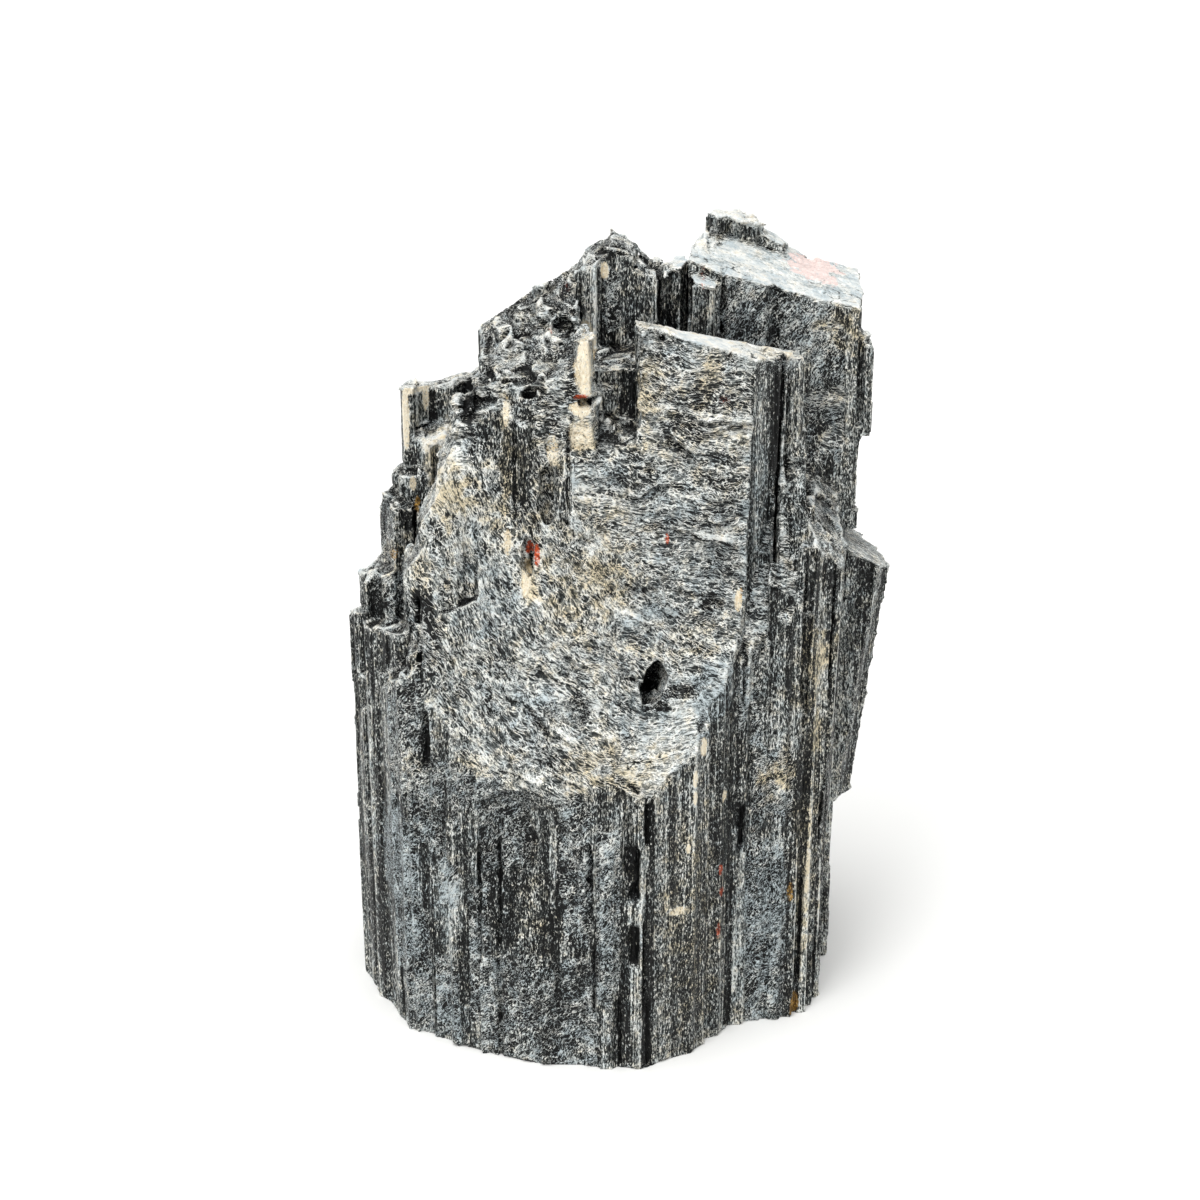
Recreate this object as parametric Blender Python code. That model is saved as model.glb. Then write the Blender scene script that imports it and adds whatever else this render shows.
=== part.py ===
"""A standing cluster of black tourmaline (schorl): parallel striated prisms grown together in one piece.

The cluster stands on a flat cut. Every prism runs along Z, with ribs along its sides, and ends in a tilted break.
Tables give the prisms and breaks in millimetres, on a plan with +X to the right and +Y to the back.
"""

import math
import random

import bmesh
import bpy
from mathutils import Matrix, Vector, noise

MM = 0.001

RIB_PITCH = 2.2  # from one rib to the next, round a prism
RIB_DEPTH = 0.6
GROOVE_SHARE = 0.12  # the share of ribs that are cut deeper
GROOVE_DEPTH = 1.5
FOOT = -4.0  # prisms start below the cut, which trims them all to one level
FACET = 3.9  # the size of a facet on a broken face
FACET_STRAY = 0.36  # how far a facet's corner strays, as a share of its size
BREAK_REACH = 60.0  # how far a break's cutter runs out past the cluster
END_LENGTH = 12.0  # how far a tuft's broken ends run down into their prism
GROUND = (200.0, 200.0, 40.0)
SEED = 11

BLACK = (0.030, 0.033, 0.034, 1.0)

# Main prisms: name, plan outline, foot level, top level at the outline's middle,
# rise of the top along X and Y, lean to the right for each millimetre up
PRISMS = [
    ("core", [(-36, -6), (-29, -16), (-20, -18.5), (-8, -20), (20, -19), (33, -16), (38, -6), (41, 8), (34, 24),
              (10, 34), (-16, 32), (-36, 14)], FOOT, 96, -0.08, 0.0, 0),
    ("middle_fill", [(-6, 0), (4, -2), (15, 4), (20, 14), (12, 21), (-8, 16)], FOOT, 130, 0.3, -0.5, 0),
    ("front_prism", [(-22, -32.5), (-10, -36.4), (7.4, -38), (17.2, -32.4), (22.4, -26.4), (24.3, -23.4),
                     (23, -6), (-20, -6)], FOOT, 113.9, 0.0, 0.33, 0),
    ("front_left", [(-25.4, -14), (-25.4, -20.5), (-22, -24.5), (-10, -25), (-8, -14)],
     FOOT, 122, 0.15, 0.4, 0),
    ("ridge_1", [(-35.4, -15), (-34.4, -23.6), (-29, -26.6), (-24, -25), (-24, -14)], FOOT, 101, 1.6, 0.3, 0),
    ("ridge_2", [(-32, -14), (-31.6, -23.4), (-25, -26), (-22, -14)], FOOT, 109, 2.0, 0.3, 0),
    ("ridge_3", [(-28.8, -13), (-28.6, -22.6), (-22, -25), (-21, -13)], FOOT, 117, 2.0, 0.3, 0),
    ("slab", [(5.8, -24), (24, -24), (28.5, -16.5), (31, -8), (24, -9.5), (5.8, -11.8)],
     FOOT, 131.6, -0.25, 0.05, 0),
    ("slab_right", [(22, -22), (25, -23), (28.5, -16.5), (36.2, -8.6), (35.4, -5), (24, -9)],
     FOOT, 128.9, -0.27, 0.05, 0),
    ("right_front", [(20, -20), (24.3, -22.6), (30.5, -21.3), (31.5, -8), (22, -6)], FOOT, 99, -0.1, 3.2, 0),
    ("right_middle", [(30, -20.8), (36.8, -20), (39.5, -16), (38, -6), (30, -6)], FOOT, 103, -1.1, 2.4, 0),
    ("right_corner", [(36, -19), (41.0, -15.5), (42.6, -8), (42.4, 3), (36, 6), (32, -8)],
     FOOT, 99, -1.3, 0.5, 0.024),
    ("low_left_1", [(-47.6, 3), (-47.0, -3), (-44.6, -8.0), (-41.2, -13.6), (-38.6, -19.6), (-30, 2)],
     FOOT, 64, 1.0, -0.3, 0),
    ("low_left_2", [(-41.2, -13.6), (-38.6, -19.6), (-36.4, -24.2), (-31, -26.0), (-26, -20), (-30, -6)],
     FOOT, 76, 1.0, 0.2, 0),
    ("low_left_3", [(-31.4, -26.8), (-25, -30.2), (-19, -33.4), (-12, -20), (-30, -12)], FOOT, 88, 0.4, 0.2, 0),
    ("left_columns", [(-46.8, -3), (-43.4, -12), (-37, -18.5), (-29, -21), (-24, -8), (-36, 8), (-46.6, 8)],
     FOOT, 80, 0.25, 0.1, 0),
    ("back_right", [(15.4, -0.6), (22, -1.4), (30, 0.4), (40, 1.6), (46, 3.6), (46.8, 19.4), (37, 17.0),
                    (34, 22.4), (22, 22.4), (19.6, 13), (16.4, 6)], FOOT, 140.7, -0.346, 0.282, 0),
    ("back_right_low", [(12, 4), (17, 4), (22, 13), (22, 22.4), (15, 22), (11, 14)], FOOT, 139.0, 0.3, -0.3, 0),
    ("rim_upper", [(38, 3), (47.4, 3.4), (48.6, 10), (48.4, 18.6), (40, 17.6)], 93, 136.8, -0.346, 0.33, 0),
    ("rim_middle", [(40, 4.4), (50.2, 5), (51.0, 9), (50.2, 16), (42, 17.6)], 109, 131, -1.2, 0.0, 0),
    ("rim_lower", [(40, 4), (48.2, 4.4), (48.8, 9), (48, 17), (42, 19)], 96, 112, -0.3, 0.0, 0.03),
    ("far_right", [(37, -1), (46.2, 0), (49.2, 5), (47.6, 13), (40, 17), (33, 8)], 36, 88.2, -0.56, 0.0, 0.115),
    ("peak_left", [(-5.8, -3), (-1, -7), (2.6, -6), (2.8, 4.4), (-2, 6)], FOOT, 144.1, 0.54, 0.15, 0),
    ("peak_middle", [(1.2, -6.4), (6.0, -5), (7.0, 3), (1.6, 5)], FOOT, 145.9, -0.5, 0.2, 0),
    ("peak_right", [(6.4, -5.6), (10.2, -4), (10.6, 4), (7, 5)], FOOT, 142.2, -0.5, 0.2, 0),
    ("upper_left", [(-21.8, -7), (-13, -11), (-4, -10.4), (-3, -0.6), (-13, 0), (-21.8, 0)],
     FOOT, 133.4, 0.68, 0.85, 0),
    ("upper_left_back", [(-21.6, -3), (-4, -3), (-1, 8), (-12, 11), (-20, 7)], FOOT, 131.5, 0.60, -0.6, 0),
    ("middle_left", [(-21.5, -17.5), (-14, -20.5), (-3.6, -21), (-3, -11), (-21.5, -10)],
     FOOT, 127.7, 0.28, 0.5, 0),
    ("middle_columns", [(-4, -12.6), (6.8, -13), (7, -5), (-4, -5)], FOOT, 127.0, 0.0, 0.2, 0),
    ("back_middle", [(-18, 12), (-6, 8), (10, 14), (18, 25), (12, 37), (-4, 40), (-16, 35)],
     FOOT, 122, 0.35, -0.45, 0),
    ("back_left", [(-40, 8), (-30, 4), (-16, 10), (-12, 26), (-20, 36), (-32, 31), (-42, 20)],
     FOOT, 93, 0.55, -0.6, 0),
    ("back_corner", [(12, 22), (34, 20), (42, 18), (37, 31), (24, 38.5), (12, 37)], FOOT, 112, 0.2, -0.7, 0),
    ("right_back", [(39, 2), (42.6, 6), (42.8, 16), (39, 24), (34, 22), (34, 6)], FOOT, 70, 0.3, 0.5, 0),
]

# Small prisms: name, middle, width and depth in plan, turn in degrees, foot level, top level, rise along X and Y
COLUMNS = [
    ("left_block", (-30.2, 0.6), (13.4, 9.6), 4, FOOT, 120.2, 0.05, -0.15),
    ("left_block_back", (-25.4, 2.4), (8.0, 9.0), 10, FOOT, 121.0, 0.25, -0.1),
    ("left_block_side", (-34.4, -3.4), (3.8, 7.0), 0, FOOT, 120.8, 0.05, -0.1),
    ("left_ledge", (-30.0, -5.0), (9.0, 9.0), 20, FOOT, 112.8, 0.05, 0.33),
    ("left_step_1", (-32.8, -4.4), (11.0, 11.0), 0, FOOT, 106.8, 0.3, 0.2),
    ("left_step_2", (-36.4, -4.6), (10.0, 15.0), 12, FOOT, 101.6, -0.1, 0.2),
    ("left_step_3", (-39.4, -5.2), (13.0, 16.0), -6, FOOT, 88.6, 0.5, 0.1),
    ("recess_column", (0.9, -13.4), (3.2, 5.0), 0, FOOT, 122.6, 0.0, 0.2),
    ("thin_column_1", (10.6, 1.6), (4.6, 9.0), 10, FOOT, 141.4, 0.0, 0.2),
    ("thin_column_2", (13.9, 3.4), (4.0, 8.0), -8, FOOT, 142.0, 0.2, 0.1),
    ("thin_column_3", (18.4, -0.6), (6.4, 6.0), 5, FOOT, 139.6, -0.3, 0.2),
    ("ragged_1", (23.4, 16.5), (7.4, 8.0), 4, FOOT, 148.4, -0.05, 0.0),
    ("ragged_2", (27.2, 17.0), (7.4, 8.0), -5, FOOT, 147.6, -0.25, 0.1),
    ("ragged_3", (31.8, 17.6), (6.8, 7.4), 8, FOOT, 144.2, -0.5, 0.1),
    ("ragged_4", (19.4, 11.0), (5.6, 8.0), -6, FOOT, 144.4, 0.3, 0.2),
    ("ragged_5", (35.8, 18.4), (6.0, 6.4), 3, FOOT, 141.2, -0.4, 0.1),
    ("hook", (47.0, 8.0), (4.2, 5.0), 20, 90.4, 94.0, 0.35, 0.0),
    ("gap_wall", (-20.5, 2.0), (5.0, 7.0), 0, FOOT, 122.8, 0.3, 0.1),
    ("rib_1", (26.2, -21.4), (3.2, 3.0), 10, FOOT, 78.0, 0.1, 3.0),
    ("rib_2", (33.4, -19.5), (3.6, 3.2), -8, FOOT, 86.0, -0.2, 3.0),
    ("rib_3", (38.4, -16.9), (3.4, 3.4), 20, FOOT, 90.0, -0.5, 2.0),
    ("rib_4", (41.4, -11.4), (3.0, 3.6), 60, FOOT, 90.0, -0.4, 0.4),
    ("rib_5", (-34.0, -23.6), (3.4, 3.2), 12, FOOT, 60.0, 0.6, 1.2),
    ("rib_6", (-26.2, -28.6), (3.8, 3.0), 22, FOOT, 48.0, 0.3, 1.6),
    ("rib_7", (-42.0, -10.2), (3.4, 3.6), 60, FOOT, 54.0, 1.2, 0.5),
    ("rib_8", (1.2, -36.7), (4.2, 2.8), 0, FOOT, 47.0, 0.1, 1.8),
    ("back_column_1", (-27.0, 24.0), (12.0, 13.0), 15, FOOT, 100.0, 0.3, -0.3),
    ("back_column_2", (-8.0, 32.0), (12.0, 12.0), -10, FOOT, 115.0, 0.1, -0.4),
    ("back_column_3", (5.0, 29.0), (11.0, 14.0), 5, FOOT, 128.0, 0.3, -0.2),
    ("back_column_4", (28.0, 29.0), (12.0, 10.0), 20, FOOT, 124.0, -0.1, -0.4),
    ("back_column_5", (-37.0, 14.0), (10.0, 12.0), -12, FOOT, 82.0, 0.4, -0.2),
    ("back_column_6", (39.0, 24.0), (8.0, 8.0), 8, FOOT, 96.0, -0.2, -0.3),
    ("back_column_7", (14.0, 34.5), (8.0, 7.0), 12, FOOT, 104.0, 0.3, -0.5),
    ("back_column_8", (-20.0, 33.0), (9.0, 7.0), -18, FOOT, 84.0, 0.4, -0.5),
]

# Grown over the broken faces: name, middle, width and depth, turn, foot level, top level, rise along X and Y,
# and the top's size as a share of the foot's
GROWTHS = [
    ("feldspar_upper", (-2.9, -16.4), (4.6, 9.0), 0, 122.8, 133.2, 0.1, 0.3, 0.72),
    ("feldspar_lower", (-3.3, -18.0), (6.2, 8.4), 4, 112.0, 121.8, 0.1, 0.3, 0.95),
    ("column_1", (-15.8, -20.8), (3.0, 4.6), 0, 97.0, 121.0, 0.2, 0.6, 1.0),
    ("column_2", (-13.4, -21.2), (2.8, 4.6), 8, 94.0, 119.4, -0.2, 0.6, 1.0),
    ("column_3", (-11.4, -20.8), (2.2, 4.4), -10, 99.0, 115.0, 0.3, 0.6, 1.0),
    ("column_4", (-6.8, -21.4), (2.4, 4.6), 6, 92.0, 110.0, 0.2, 0.6, 1.0),
    ("column_5", (-4.8, -21.0), (2.4, 4.4), -4, 95.0, 112.4, 0.1, 0.6, 1.0),
]

# Tufts of broken ends: the prism they stand on, how many, their width and the most that they stand up
TUFTS = [
    ("upper_left", 14, 3.8, 1.1),
    ("upper_left_back", 6, 4.0, 1.2),
    ("middle_left", 4, 3.6, 0.8),
    ("left_columns", 6, 4.4, 2.0),
    ("front_left", 3, 3.6, 1.0),
    ("right_corner", 4, 3.4, 0.8),
    ("back_middle", 8, 4.8, 3.0),
    ("back_left", 8, 4.8, 3.0),
    ("back_corner", 6, 4.6, 3.0),
    ("right_back", 3, 4.4, 3.0),
]

# Broken faces: name, compass turn in degrees (0 faces -Y), positions across, relief, and rows from the bottom up
# with a level and how far out the face lies at each position
BREAKS = [
    ("main_break", 0, (-35, -26, -17, -8, 1, 9, 18, 26.8), 1.1, [
        (46, (34, 36, 40, 42, 44, 46, 42, 34)),
        (54, (29, 31, 35.6, 37.4, 39, 37.8, 38, 33)),
        (60, (27, 29.4, 33.2, 35.6, 36.6, 32.5, 34, 31)),
        (66, (26, 28.4, 31.4, 33.6, 33.6, 28.4, 30, 28)),
        (72, (25.4, 27.6, 29.8, 31, 30.2, 25.4, 26.8, 26)),
        (80, (25, 26.8, 28, 28.4, 26.6, 23.6, 24, 22.6)),
        (90, (24.6, 26, 26.4, 25.8, 24, 22.2, 22.4, 21)),
        (100, (24.4, 25.2, 24.6, 23.6, 22.4, 21.2, 21.2, 20)),
        (110, (24, 24, 22.8, 21.8, 21.2, 20.2, 20.2, 19.4)),
        (118, (23.4, 22.4, 21.2, 21, 20.4, 19, 19, 18.8)),
        (126, (22, 20.8, 20, 20.8, 19.6, 17.6, 17.8, 18.4)),
        (142, (20, 18, 17.5, 19, 18, 15.6, 16, 17.6)),
    ]),
    ("low_hollow", 0, (-23, -17, -11, -4), 0.8, [
        (14, (36, 38, 39, 40)),
        (20, (34, 34.6, 35.4, 37.4)),
        (30, (32, 32.2, 33.2, 36)),
        (42, (31.4, 30.4, 32.0, 36)),
        (50, (31.4, 29.6, 32.0, 37.4)),
        (55, (35, 33, 36, 40)),
    ]),
    ("right_hollow", 0, (36.8, 41, 45.4), 0.9, [
        (101, (2, 3, 1)),
        (106, (-2.4, -3.2, -3.0)),
        (114, (-2.6, -4.0, -4.2)),
        (122, (-2.2, -3.8, -4.0)),
        (130, (-1.0, -2.4, -3.2)),
        (134, (0.5, -0.6, -1.6)),
    ]),
    ("back_break", 180, (-36, -12, 12), 1.4, [
        (40, (56, 51, 54)),
        (48, (46, 40.5, 43)),
        (66, (41, 35.5, 38)),
        (90, (38, 32, 34)),
        (120, (35, 29, 31)),
        (140, (32, 26.5, 28)),
    ]),
    ("back_side_break", 128, (-24, 0, 24), 1.3, [
        (8, (56, 50, 60)),
        (16, (46, 41.6, 50)),
        (36, (42, 39.0, 46)),
        (60, (46, 41.8, 50)),
        (70, (56, 52, 60)),
    ]),
    ("left_back_break", -118, (-22, 0, 24), 1.2, [
        (44, (54, 50, 52)),
        (52, (46, 41.6, 42)),
        (70, (42, 38.0, 38.5)),
        (86, (39, 35.2, 36)),
        (104, (36, 31.4, 32)),
    ]),
]

# Notches left where a prism has come away: middle in plan, width and depth, foot and top level, lean to the right
NOTCHES = [
    ("sliver_notch", (3.0, -19.0), (8.6, 12.6), 117.0, 160.0, 0.0),
    ("slab_crack", (30.8, -14.6), (1.5, 9.0), 80.0, 140.0, 0.03),
    ("low_crack", (28.9, -21.6), (0.8, 5.0), 66.0, 92.0, 0.03),
    ("gap_slot", (-23.4, -9.0), (4.6, 14.0), 113.0, 130.0, 0.0),
    ("left_slot", (-33.4, -12.4), (1.2, 6.0), 92.0, 108.0, 0.0),
    ("column_gap_1", (8.2, -6.0), (0.9, 5.0), 120.0, 150.0, 0.0),
    ("column_gap_2", (12.3, -2.0), (0.9, 5.0), 122.0, 150.0, 0.0),
    ("column_gap_3", (22.3, -2.4), (1.1, 5.0), 118.0, 138.0, 0.0),
]

# Pits and grooves: middle, half width, half depth and half height, turn in degrees seen from the front
PITS = [
    ("front_groove_1", (4.6, -37.8, 45.0), (1.2, 2.0, 12.0), 1),
    ("front_groove_2", (4.2, -38.0, 20.0), (1.0, 1.7, 14.0), -1),
    ("front_groove_3", (-2.4, -37.4, 33.0), (0.9, 1.5, 16.0), 1),
    ("front_groove_4", (-7.8, -36.8, 19.0), (1.0, 1.4, 12.0), -2),
    ("corner_gap", (25.4, -24.4, 45.4), (1.4, 3.0, 6.4), -6),
    ("left_gap_low", (-31.4, -27.2, 49.0), (0.9, 2.2, 10.0), 2),
    ("open_pit", (9.2, -25.0, 71.6), (2.6, 8.0, 4.8), 18),
    ("small_pit", (21.6, -24.0, 86.0), (1.2, 2.6, 2.2), 0),
    ("stained_pit", (-12.6, -25.0, 95.5), (1.3, 4.6, 4.2), -4),
    ("low_pit", (-13.6, -33.4, 46.0), (3.2, 3.4, 5.4), -14),
    ("left_pit", (-33.8, -23.0, 80.0), (2.4, 3.4, 4.0), 10),
    ("step_pit", (-33.2, -14.4, 97.0), (1.8, 3.0, 3.0), 0),
    ("gap_pit", (-6.6, -10.0, 133.0), (2.8, 3.6, 2.4), 12),
    ("granular_pit", (-9.0, -22.6, 106.0), (2.2, 2.6, 7.0), 3),
    ("niche", (-11.6, -20.6, 123.8), (2.6, 2.8, 1.3), -8),
    ("back_pit", (-6.0, 39.0, 60.0), (4.0, 4.0, 6.0), 12),
]


def middle_of(outline):
    """The middle of a plan outline's area."""
    area, middle = 0.0, Vector((0, 0))
    for i, start in enumerate(outline):
        start, end = Vector(start), Vector(outline[(i + 1) % len(outline)])
        share = start.cross(end)
        area += share
        middle += (start + end) * share
    return middle / (3 * area)


def hexagon(middle, size, turn, chance):
    """An uneven six-sided plan outline, width by depth, turned by an angle in degrees."""
    corners = [(0.5, 0.0), (0.28, 0.5), (-0.28, 0.5), (-0.5, 0.0), (-0.28, -0.5), (0.28, -0.5)]
    uneven = [(x * chance.uniform(0.8, 1.0), y * chance.uniform(0.8, 1.0)) for x, y in corners]
    rotation = Matrix.Rotation(math.radians(turn), 2)
    return [tuple(Vector(middle) + rotation @ Vector((x * size[0], y * size[1]))) for x, y in uneven]


def ribbed(outline, chance):
    """The outline with growth ribs: points along each side, drawn in by a chance depth, and some by a groove's."""
    middle = middle_of(outline)
    points = []
    for i, start in enumerate(outline):
        start, end = Vector(start), Vector(outline[(i + 1) % len(outline)])
        steps = max(1, round((end - start).length / RIB_PITCH))
        for k in range(steps):
            point = start.lerp(end, (k + (chance.uniform(-0.3, 0.3) if k else 0)) / steps)
            inward = (middle - point).normalized()
            cut = GROOVE_DEPTH if chance.random() < GROOVE_SHARE else chance.uniform(0, RIB_DEPTH)
            points.append(point + inward * (cut if k else 0))
    return points


def object_of(name, bm, collection, helper=True):
    """The bmesh as an object in a collection. A helper shows as wires and isn't rendered."""
    bmesh.ops.recalc_face_normals(bm, faces=bm.faces)
    mesh = bpy.data.meshes.new(name)
    bm.to_mesh(mesh)
    bm.free()
    made = bpy.data.objects.new(name, mesh)
    collection.objects.link(made)
    if helper:
        made.hide_render = True
        made.display_type = "WIRE"
    return made


def prism(name, outline, foot, top, rise, collection, lean=0.0, taper=1.0):
    """A plan outline drawn up from its foot to a tilted top, which may lean to the right or narrow."""
    middle = middle_of(outline)
    bm = bmesh.new()
    base = bm.faces.new([bm.verts.new((x * MM, y * MM, foot * MM)) for x, y in outline])
    drawn = bmesh.ops.extrude_face_region(bm, geom=[base])["geom"]
    for vert in (item for item in drawn if isinstance(item, bmesh.types.BMVert)):
        offset = (vert.co.xy / MM - middle) * taper
        level = top + offset.x * rise[0] + offset.y * rise[1]
        vert.co = Vector((middle.x + offset.x + lean * (top - foot), middle.y + offset.y, level)) * MM
    return object_of(name, bm, collection)


def top_level(outline, top, rise, point):
    """The level of a prism's tilted top over a point of the plan."""
    offset = Vector(point) - middle_of(outline)
    return top + offset.x * rise[0] + offset.y * rise[1]


def inside(outline, point):
    """Whether a plan point lies in a convex outline drawn anticlockwise."""
    for i, start in enumerate(outline):
        start, end = Vector(start), Vector(outline[(i + 1) % len(outline)])
        if (end - start).cross(Vector(point) - start) < 0:
            return False
    return True


def tuft(host, outline, top, rise, count, width, spread, collection, chance):
    """Thin broken ends that stand a little above or below their prism's top, within its outline."""
    xs, ys = zip(*outline)
    made = 0
    while made < count:
        point = (chance.uniform(min(xs), max(xs)), chance.uniform(min(ys), max(ys)))
        turn, share = chance.uniform(-20, 20), chance.uniform(0.7, 1.25)
        lift, tilt = chance.uniform(0.15, 1.0) * spread, (chance.uniform(-0.4, 0.4), chance.uniform(-0.3, 0.5))
        if not inside(outline, point):
            continue
        made += 1
        level = top_level(outline, top, rise, point)
        corners = hexagon(point, (width * share, width), turn, chance)
        prism(f"{host}_end_{made}", corners, level - END_LENGTH, level + lift, tilt, collection)


def between(keys, values, key):
    """The value at a key, straight between the rows of a table and level beyond its ends."""
    if key <= keys[0]:
        return values[0]
    for k0, k1, v0, v1 in zip(keys, keys[1:], values, values[1:]):
        if key <= k1:
            return v0 + (v1 - v0) * (key - k0) / (k1 - k0)
    return values[-1]


def broken_face(name, turn, across, relief, rows, collection, chance):
    """A cutter for a break: a facetted sheet through the rows of its table, drawn outwards past the cluster."""
    levels = [level for level, _ in rows]
    width, height = across[-1] - across[0], levels[-1] - levels[0]
    bm = bmesh.new()
    bmesh.ops.create_grid(bm, x_segments=round(width / FACET), y_segments=round(height / FACET), size=0.5)
    for vert in bm.verts:
        stray = [0, 0] if vert.is_boundary else [chance.uniform(-FACET_STRAY, FACET_STRAY) * FACET for _ in "xz"]
        x = across[0] + (vert.co.x + 0.5) * width + stray[0]
        z = levels[0] + (vert.co.y + 0.5) * height + stray[1]
        rough = noise.fractal(Vector((x, turn, z)) / (3 * FACET), 0.9, 2.2, 3)
        distance = between(levels, [between(across, out, x) for _, out in rows], z) + relief * rough
        vert.co = Vector((x, -distance, z)) * MM
    bmesh.ops.triangulate(bm, faces=bm.faces, quad_method="BEAUTY")
    drawn = bmesh.ops.extrude_face_region(bm, geom=bm.faces[:])["geom"]
    outer = [item for item in drawn if isinstance(item, bmesh.types.BMVert)]
    bmesh.ops.translate(bm, verts=outer, vec=(0, -BREAK_REACH * MM, 0))
    bmesh.ops.rotate(bm, verts=bm.verts, matrix=Matrix.Rotation(math.radians(turn), 3, "Z"))
    return object_of(name, bm, collection)


def pit(name, middle, half_sizes, turn, collection):
    """An angular hollow."""
    bm = bmesh.new()
    bmesh.ops.create_icosphere(bm, subdivisions=1, radius=1.0)
    place = Matrix.Translation(Vector(middle) * MM) @ Matrix.Rotation(math.radians(turn), 4, "Y")
    bmesh.ops.transform(bm, matrix=place @ Matrix.Diagonal((*(s * MM for s in half_sizes), 1)), verts=bm.verts)
    return object_of(name, bm, collection)


def ground_cut(collection):
    """The flat cut that the cluster stands on."""
    bm = bmesh.new()
    bmesh.ops.create_cube(bm, size=1.0)
    size = Vector(GROUND) * MM
    bmesh.ops.scale(bm, vec=size, verts=bm.verts)
    bmesh.ops.translate(bm, vec=(0, 0, -size.z / 2), verts=bm.verts)
    return object_of("ground_cut", bm, collection)


def schorl():
    """Black tourmaline: dark, glassy on the prism faces."""
    material = bpy.data.materials.new("schorl")
    material.use_nodes = True
    shader = material.node_tree.nodes["Principled BSDF"]
    shader.inputs["Base Color"].default_value = BLACK
    shader.inputs["Roughness"].default_value = 0.42
    shader.inputs["Metallic"].default_value = 0.0
    shader.inputs["IOR"].default_value = 1.63
    return material


def collection_of(name):
    made = bpy.data.collections.new(name)
    bpy.context.scene.collection.children.link(made)
    return made


def shape_solid(body, joined, cut, grown):
    """One solid: every prism joined to the core, the breaks taken away, and what grew over them joined on."""
    steps = (("join", "UNION", joined), ("break", "DIFFERENCE", cut), ("grow", "UNION", grown))
    for name, operation, collection in steps:
        modifier = body.modifiers.new(name, "BOOLEAN")
        modifier.operation = operation
        modifier.operand_type = "COLLECTION"
        modifier.collection = collection
        modifier.solver = "EXACT"


def centre_on_origin(body, helpers):
    """Moves the cluster so that the middle of its bounding box stands over the origin."""
    bpy.context.view_layer.update()
    evaluated = body.evaluated_get(bpy.context.evaluated_depsgraph_get())
    xs, ys, _ = zip(*evaluated.bound_box)
    shift = Vector((-(min(xs) + max(xs)) / 2, -(min(ys) + max(ys)) / 2, 0))
    for made in (body, *helpers):
        made.location = shift
    print("plan shift in mm:", [round(v / MM, 3) for v in shift])


def build():
    for old in list(bpy.data.objects):
        bpy.data.objects.remove(old)
    chance = random.Random(SEED)
    cluster, joined, cut, grown = (collection_of(n) for n in ("tourmaline", "prisms", "breaks", "growths"))
    tops = {}
    for name, outline, foot, top, rise_x, rise_y, lean in PRISMS:
        tops[name] = (outline, top, (rise_x, rise_y))
        prism(name, ribbed(outline, chance), foot, top, (rise_x, rise_y), joined, lean=lean)
    for name, middle, size, turn, foot, top, *rise in COLUMNS:
        prism(name, ribbed(hexagon(middle, size, turn, chance), chance), foot, top, rise, joined)
    for host, count, width, spread in TUFTS:
        tuft(host, *tops[host], count, width, spread, joined, chance)
    for name, turn, across, relief, rows in BREAKS:
        broken_face(name, turn, across, relief, rows, cut, chance)
    for name, middle, size, foot, top, lean in NOTCHES:
        prism(name, hexagon(middle, size, 0, chance), foot, top, (0, 0), cut, lean=lean)
    for name, middle, half_sizes, turn in PITS:
        pit(name, middle, half_sizes, turn, cut)
    ground_cut(cut)
    for name, middle, size, turn, foot, top, rise_x, rise_y, taper in GROWTHS:
        prism(name, hexagon(middle, size, turn, chance), foot, top, (rise_x, rise_y), grown, taper=taper)
    body = joined.objects["core"]
    joined.objects.unlink(body)
    cluster.objects.link(body)
    body.name = "tourmaline_crystal"
    body.hide_render = False
    body.display_type = "TEXTURED"
    body.data.materials.append(schorl())
    shape_solid(body, joined, cut, grown)
    centre_on_origin(body, [*joined.objects, *cut.objects, *grown.objects])


build()
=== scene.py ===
# %% [markdown]
# # A standing cluster of black tourmaline
# The object is one piece of stone about 15 cm high: many long prisms of schorl, the black tourmaline,
# grown side by side. Their sides are striated, their ends are broken at many levels, and the whole front is
# one rough break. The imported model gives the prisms, the ledges and the break. This lesson adds the fine
# relief and the finish.

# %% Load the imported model
import math

import bmesh
import bpy
import numpy as np
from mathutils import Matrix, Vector


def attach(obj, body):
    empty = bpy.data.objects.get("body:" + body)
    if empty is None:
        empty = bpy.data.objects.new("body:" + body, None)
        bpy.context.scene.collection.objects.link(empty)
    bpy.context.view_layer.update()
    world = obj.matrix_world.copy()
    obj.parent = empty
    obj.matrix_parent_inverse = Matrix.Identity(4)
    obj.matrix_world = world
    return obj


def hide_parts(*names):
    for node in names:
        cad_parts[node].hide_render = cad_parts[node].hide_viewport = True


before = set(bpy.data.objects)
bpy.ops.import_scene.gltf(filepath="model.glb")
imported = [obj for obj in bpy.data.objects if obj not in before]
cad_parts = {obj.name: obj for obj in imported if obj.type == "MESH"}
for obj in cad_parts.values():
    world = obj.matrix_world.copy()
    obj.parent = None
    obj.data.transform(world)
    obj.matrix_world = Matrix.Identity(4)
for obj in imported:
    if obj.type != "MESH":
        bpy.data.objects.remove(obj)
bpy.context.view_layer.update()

# %% [markdown]
# ## Units and the camera
# All places below are millimetres on the plan that the solid was drawn on: +X to the right, +Y to the back,
# and Z up from the flat cut. The solid was then moved so that its box is centred, and PLAN_SHIFT is that
# move. The photograph was taken from a little above. The lens is set so that 1200 pixels cover a 36 mm
# sensor, and the camera looks at a point on the Z axis.

# %% Place the camera
MM = 0.001
PLAN_SHIFT = np.array((-3.802, -0.987, 0.0))
CAMERA_PITCH = 20.0
CAMERA_DISTANCE = 377.776
CAMERA_TARGET_LEVEL = 78.42
LENS = 60.0
SENSOR = 36.0


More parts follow.
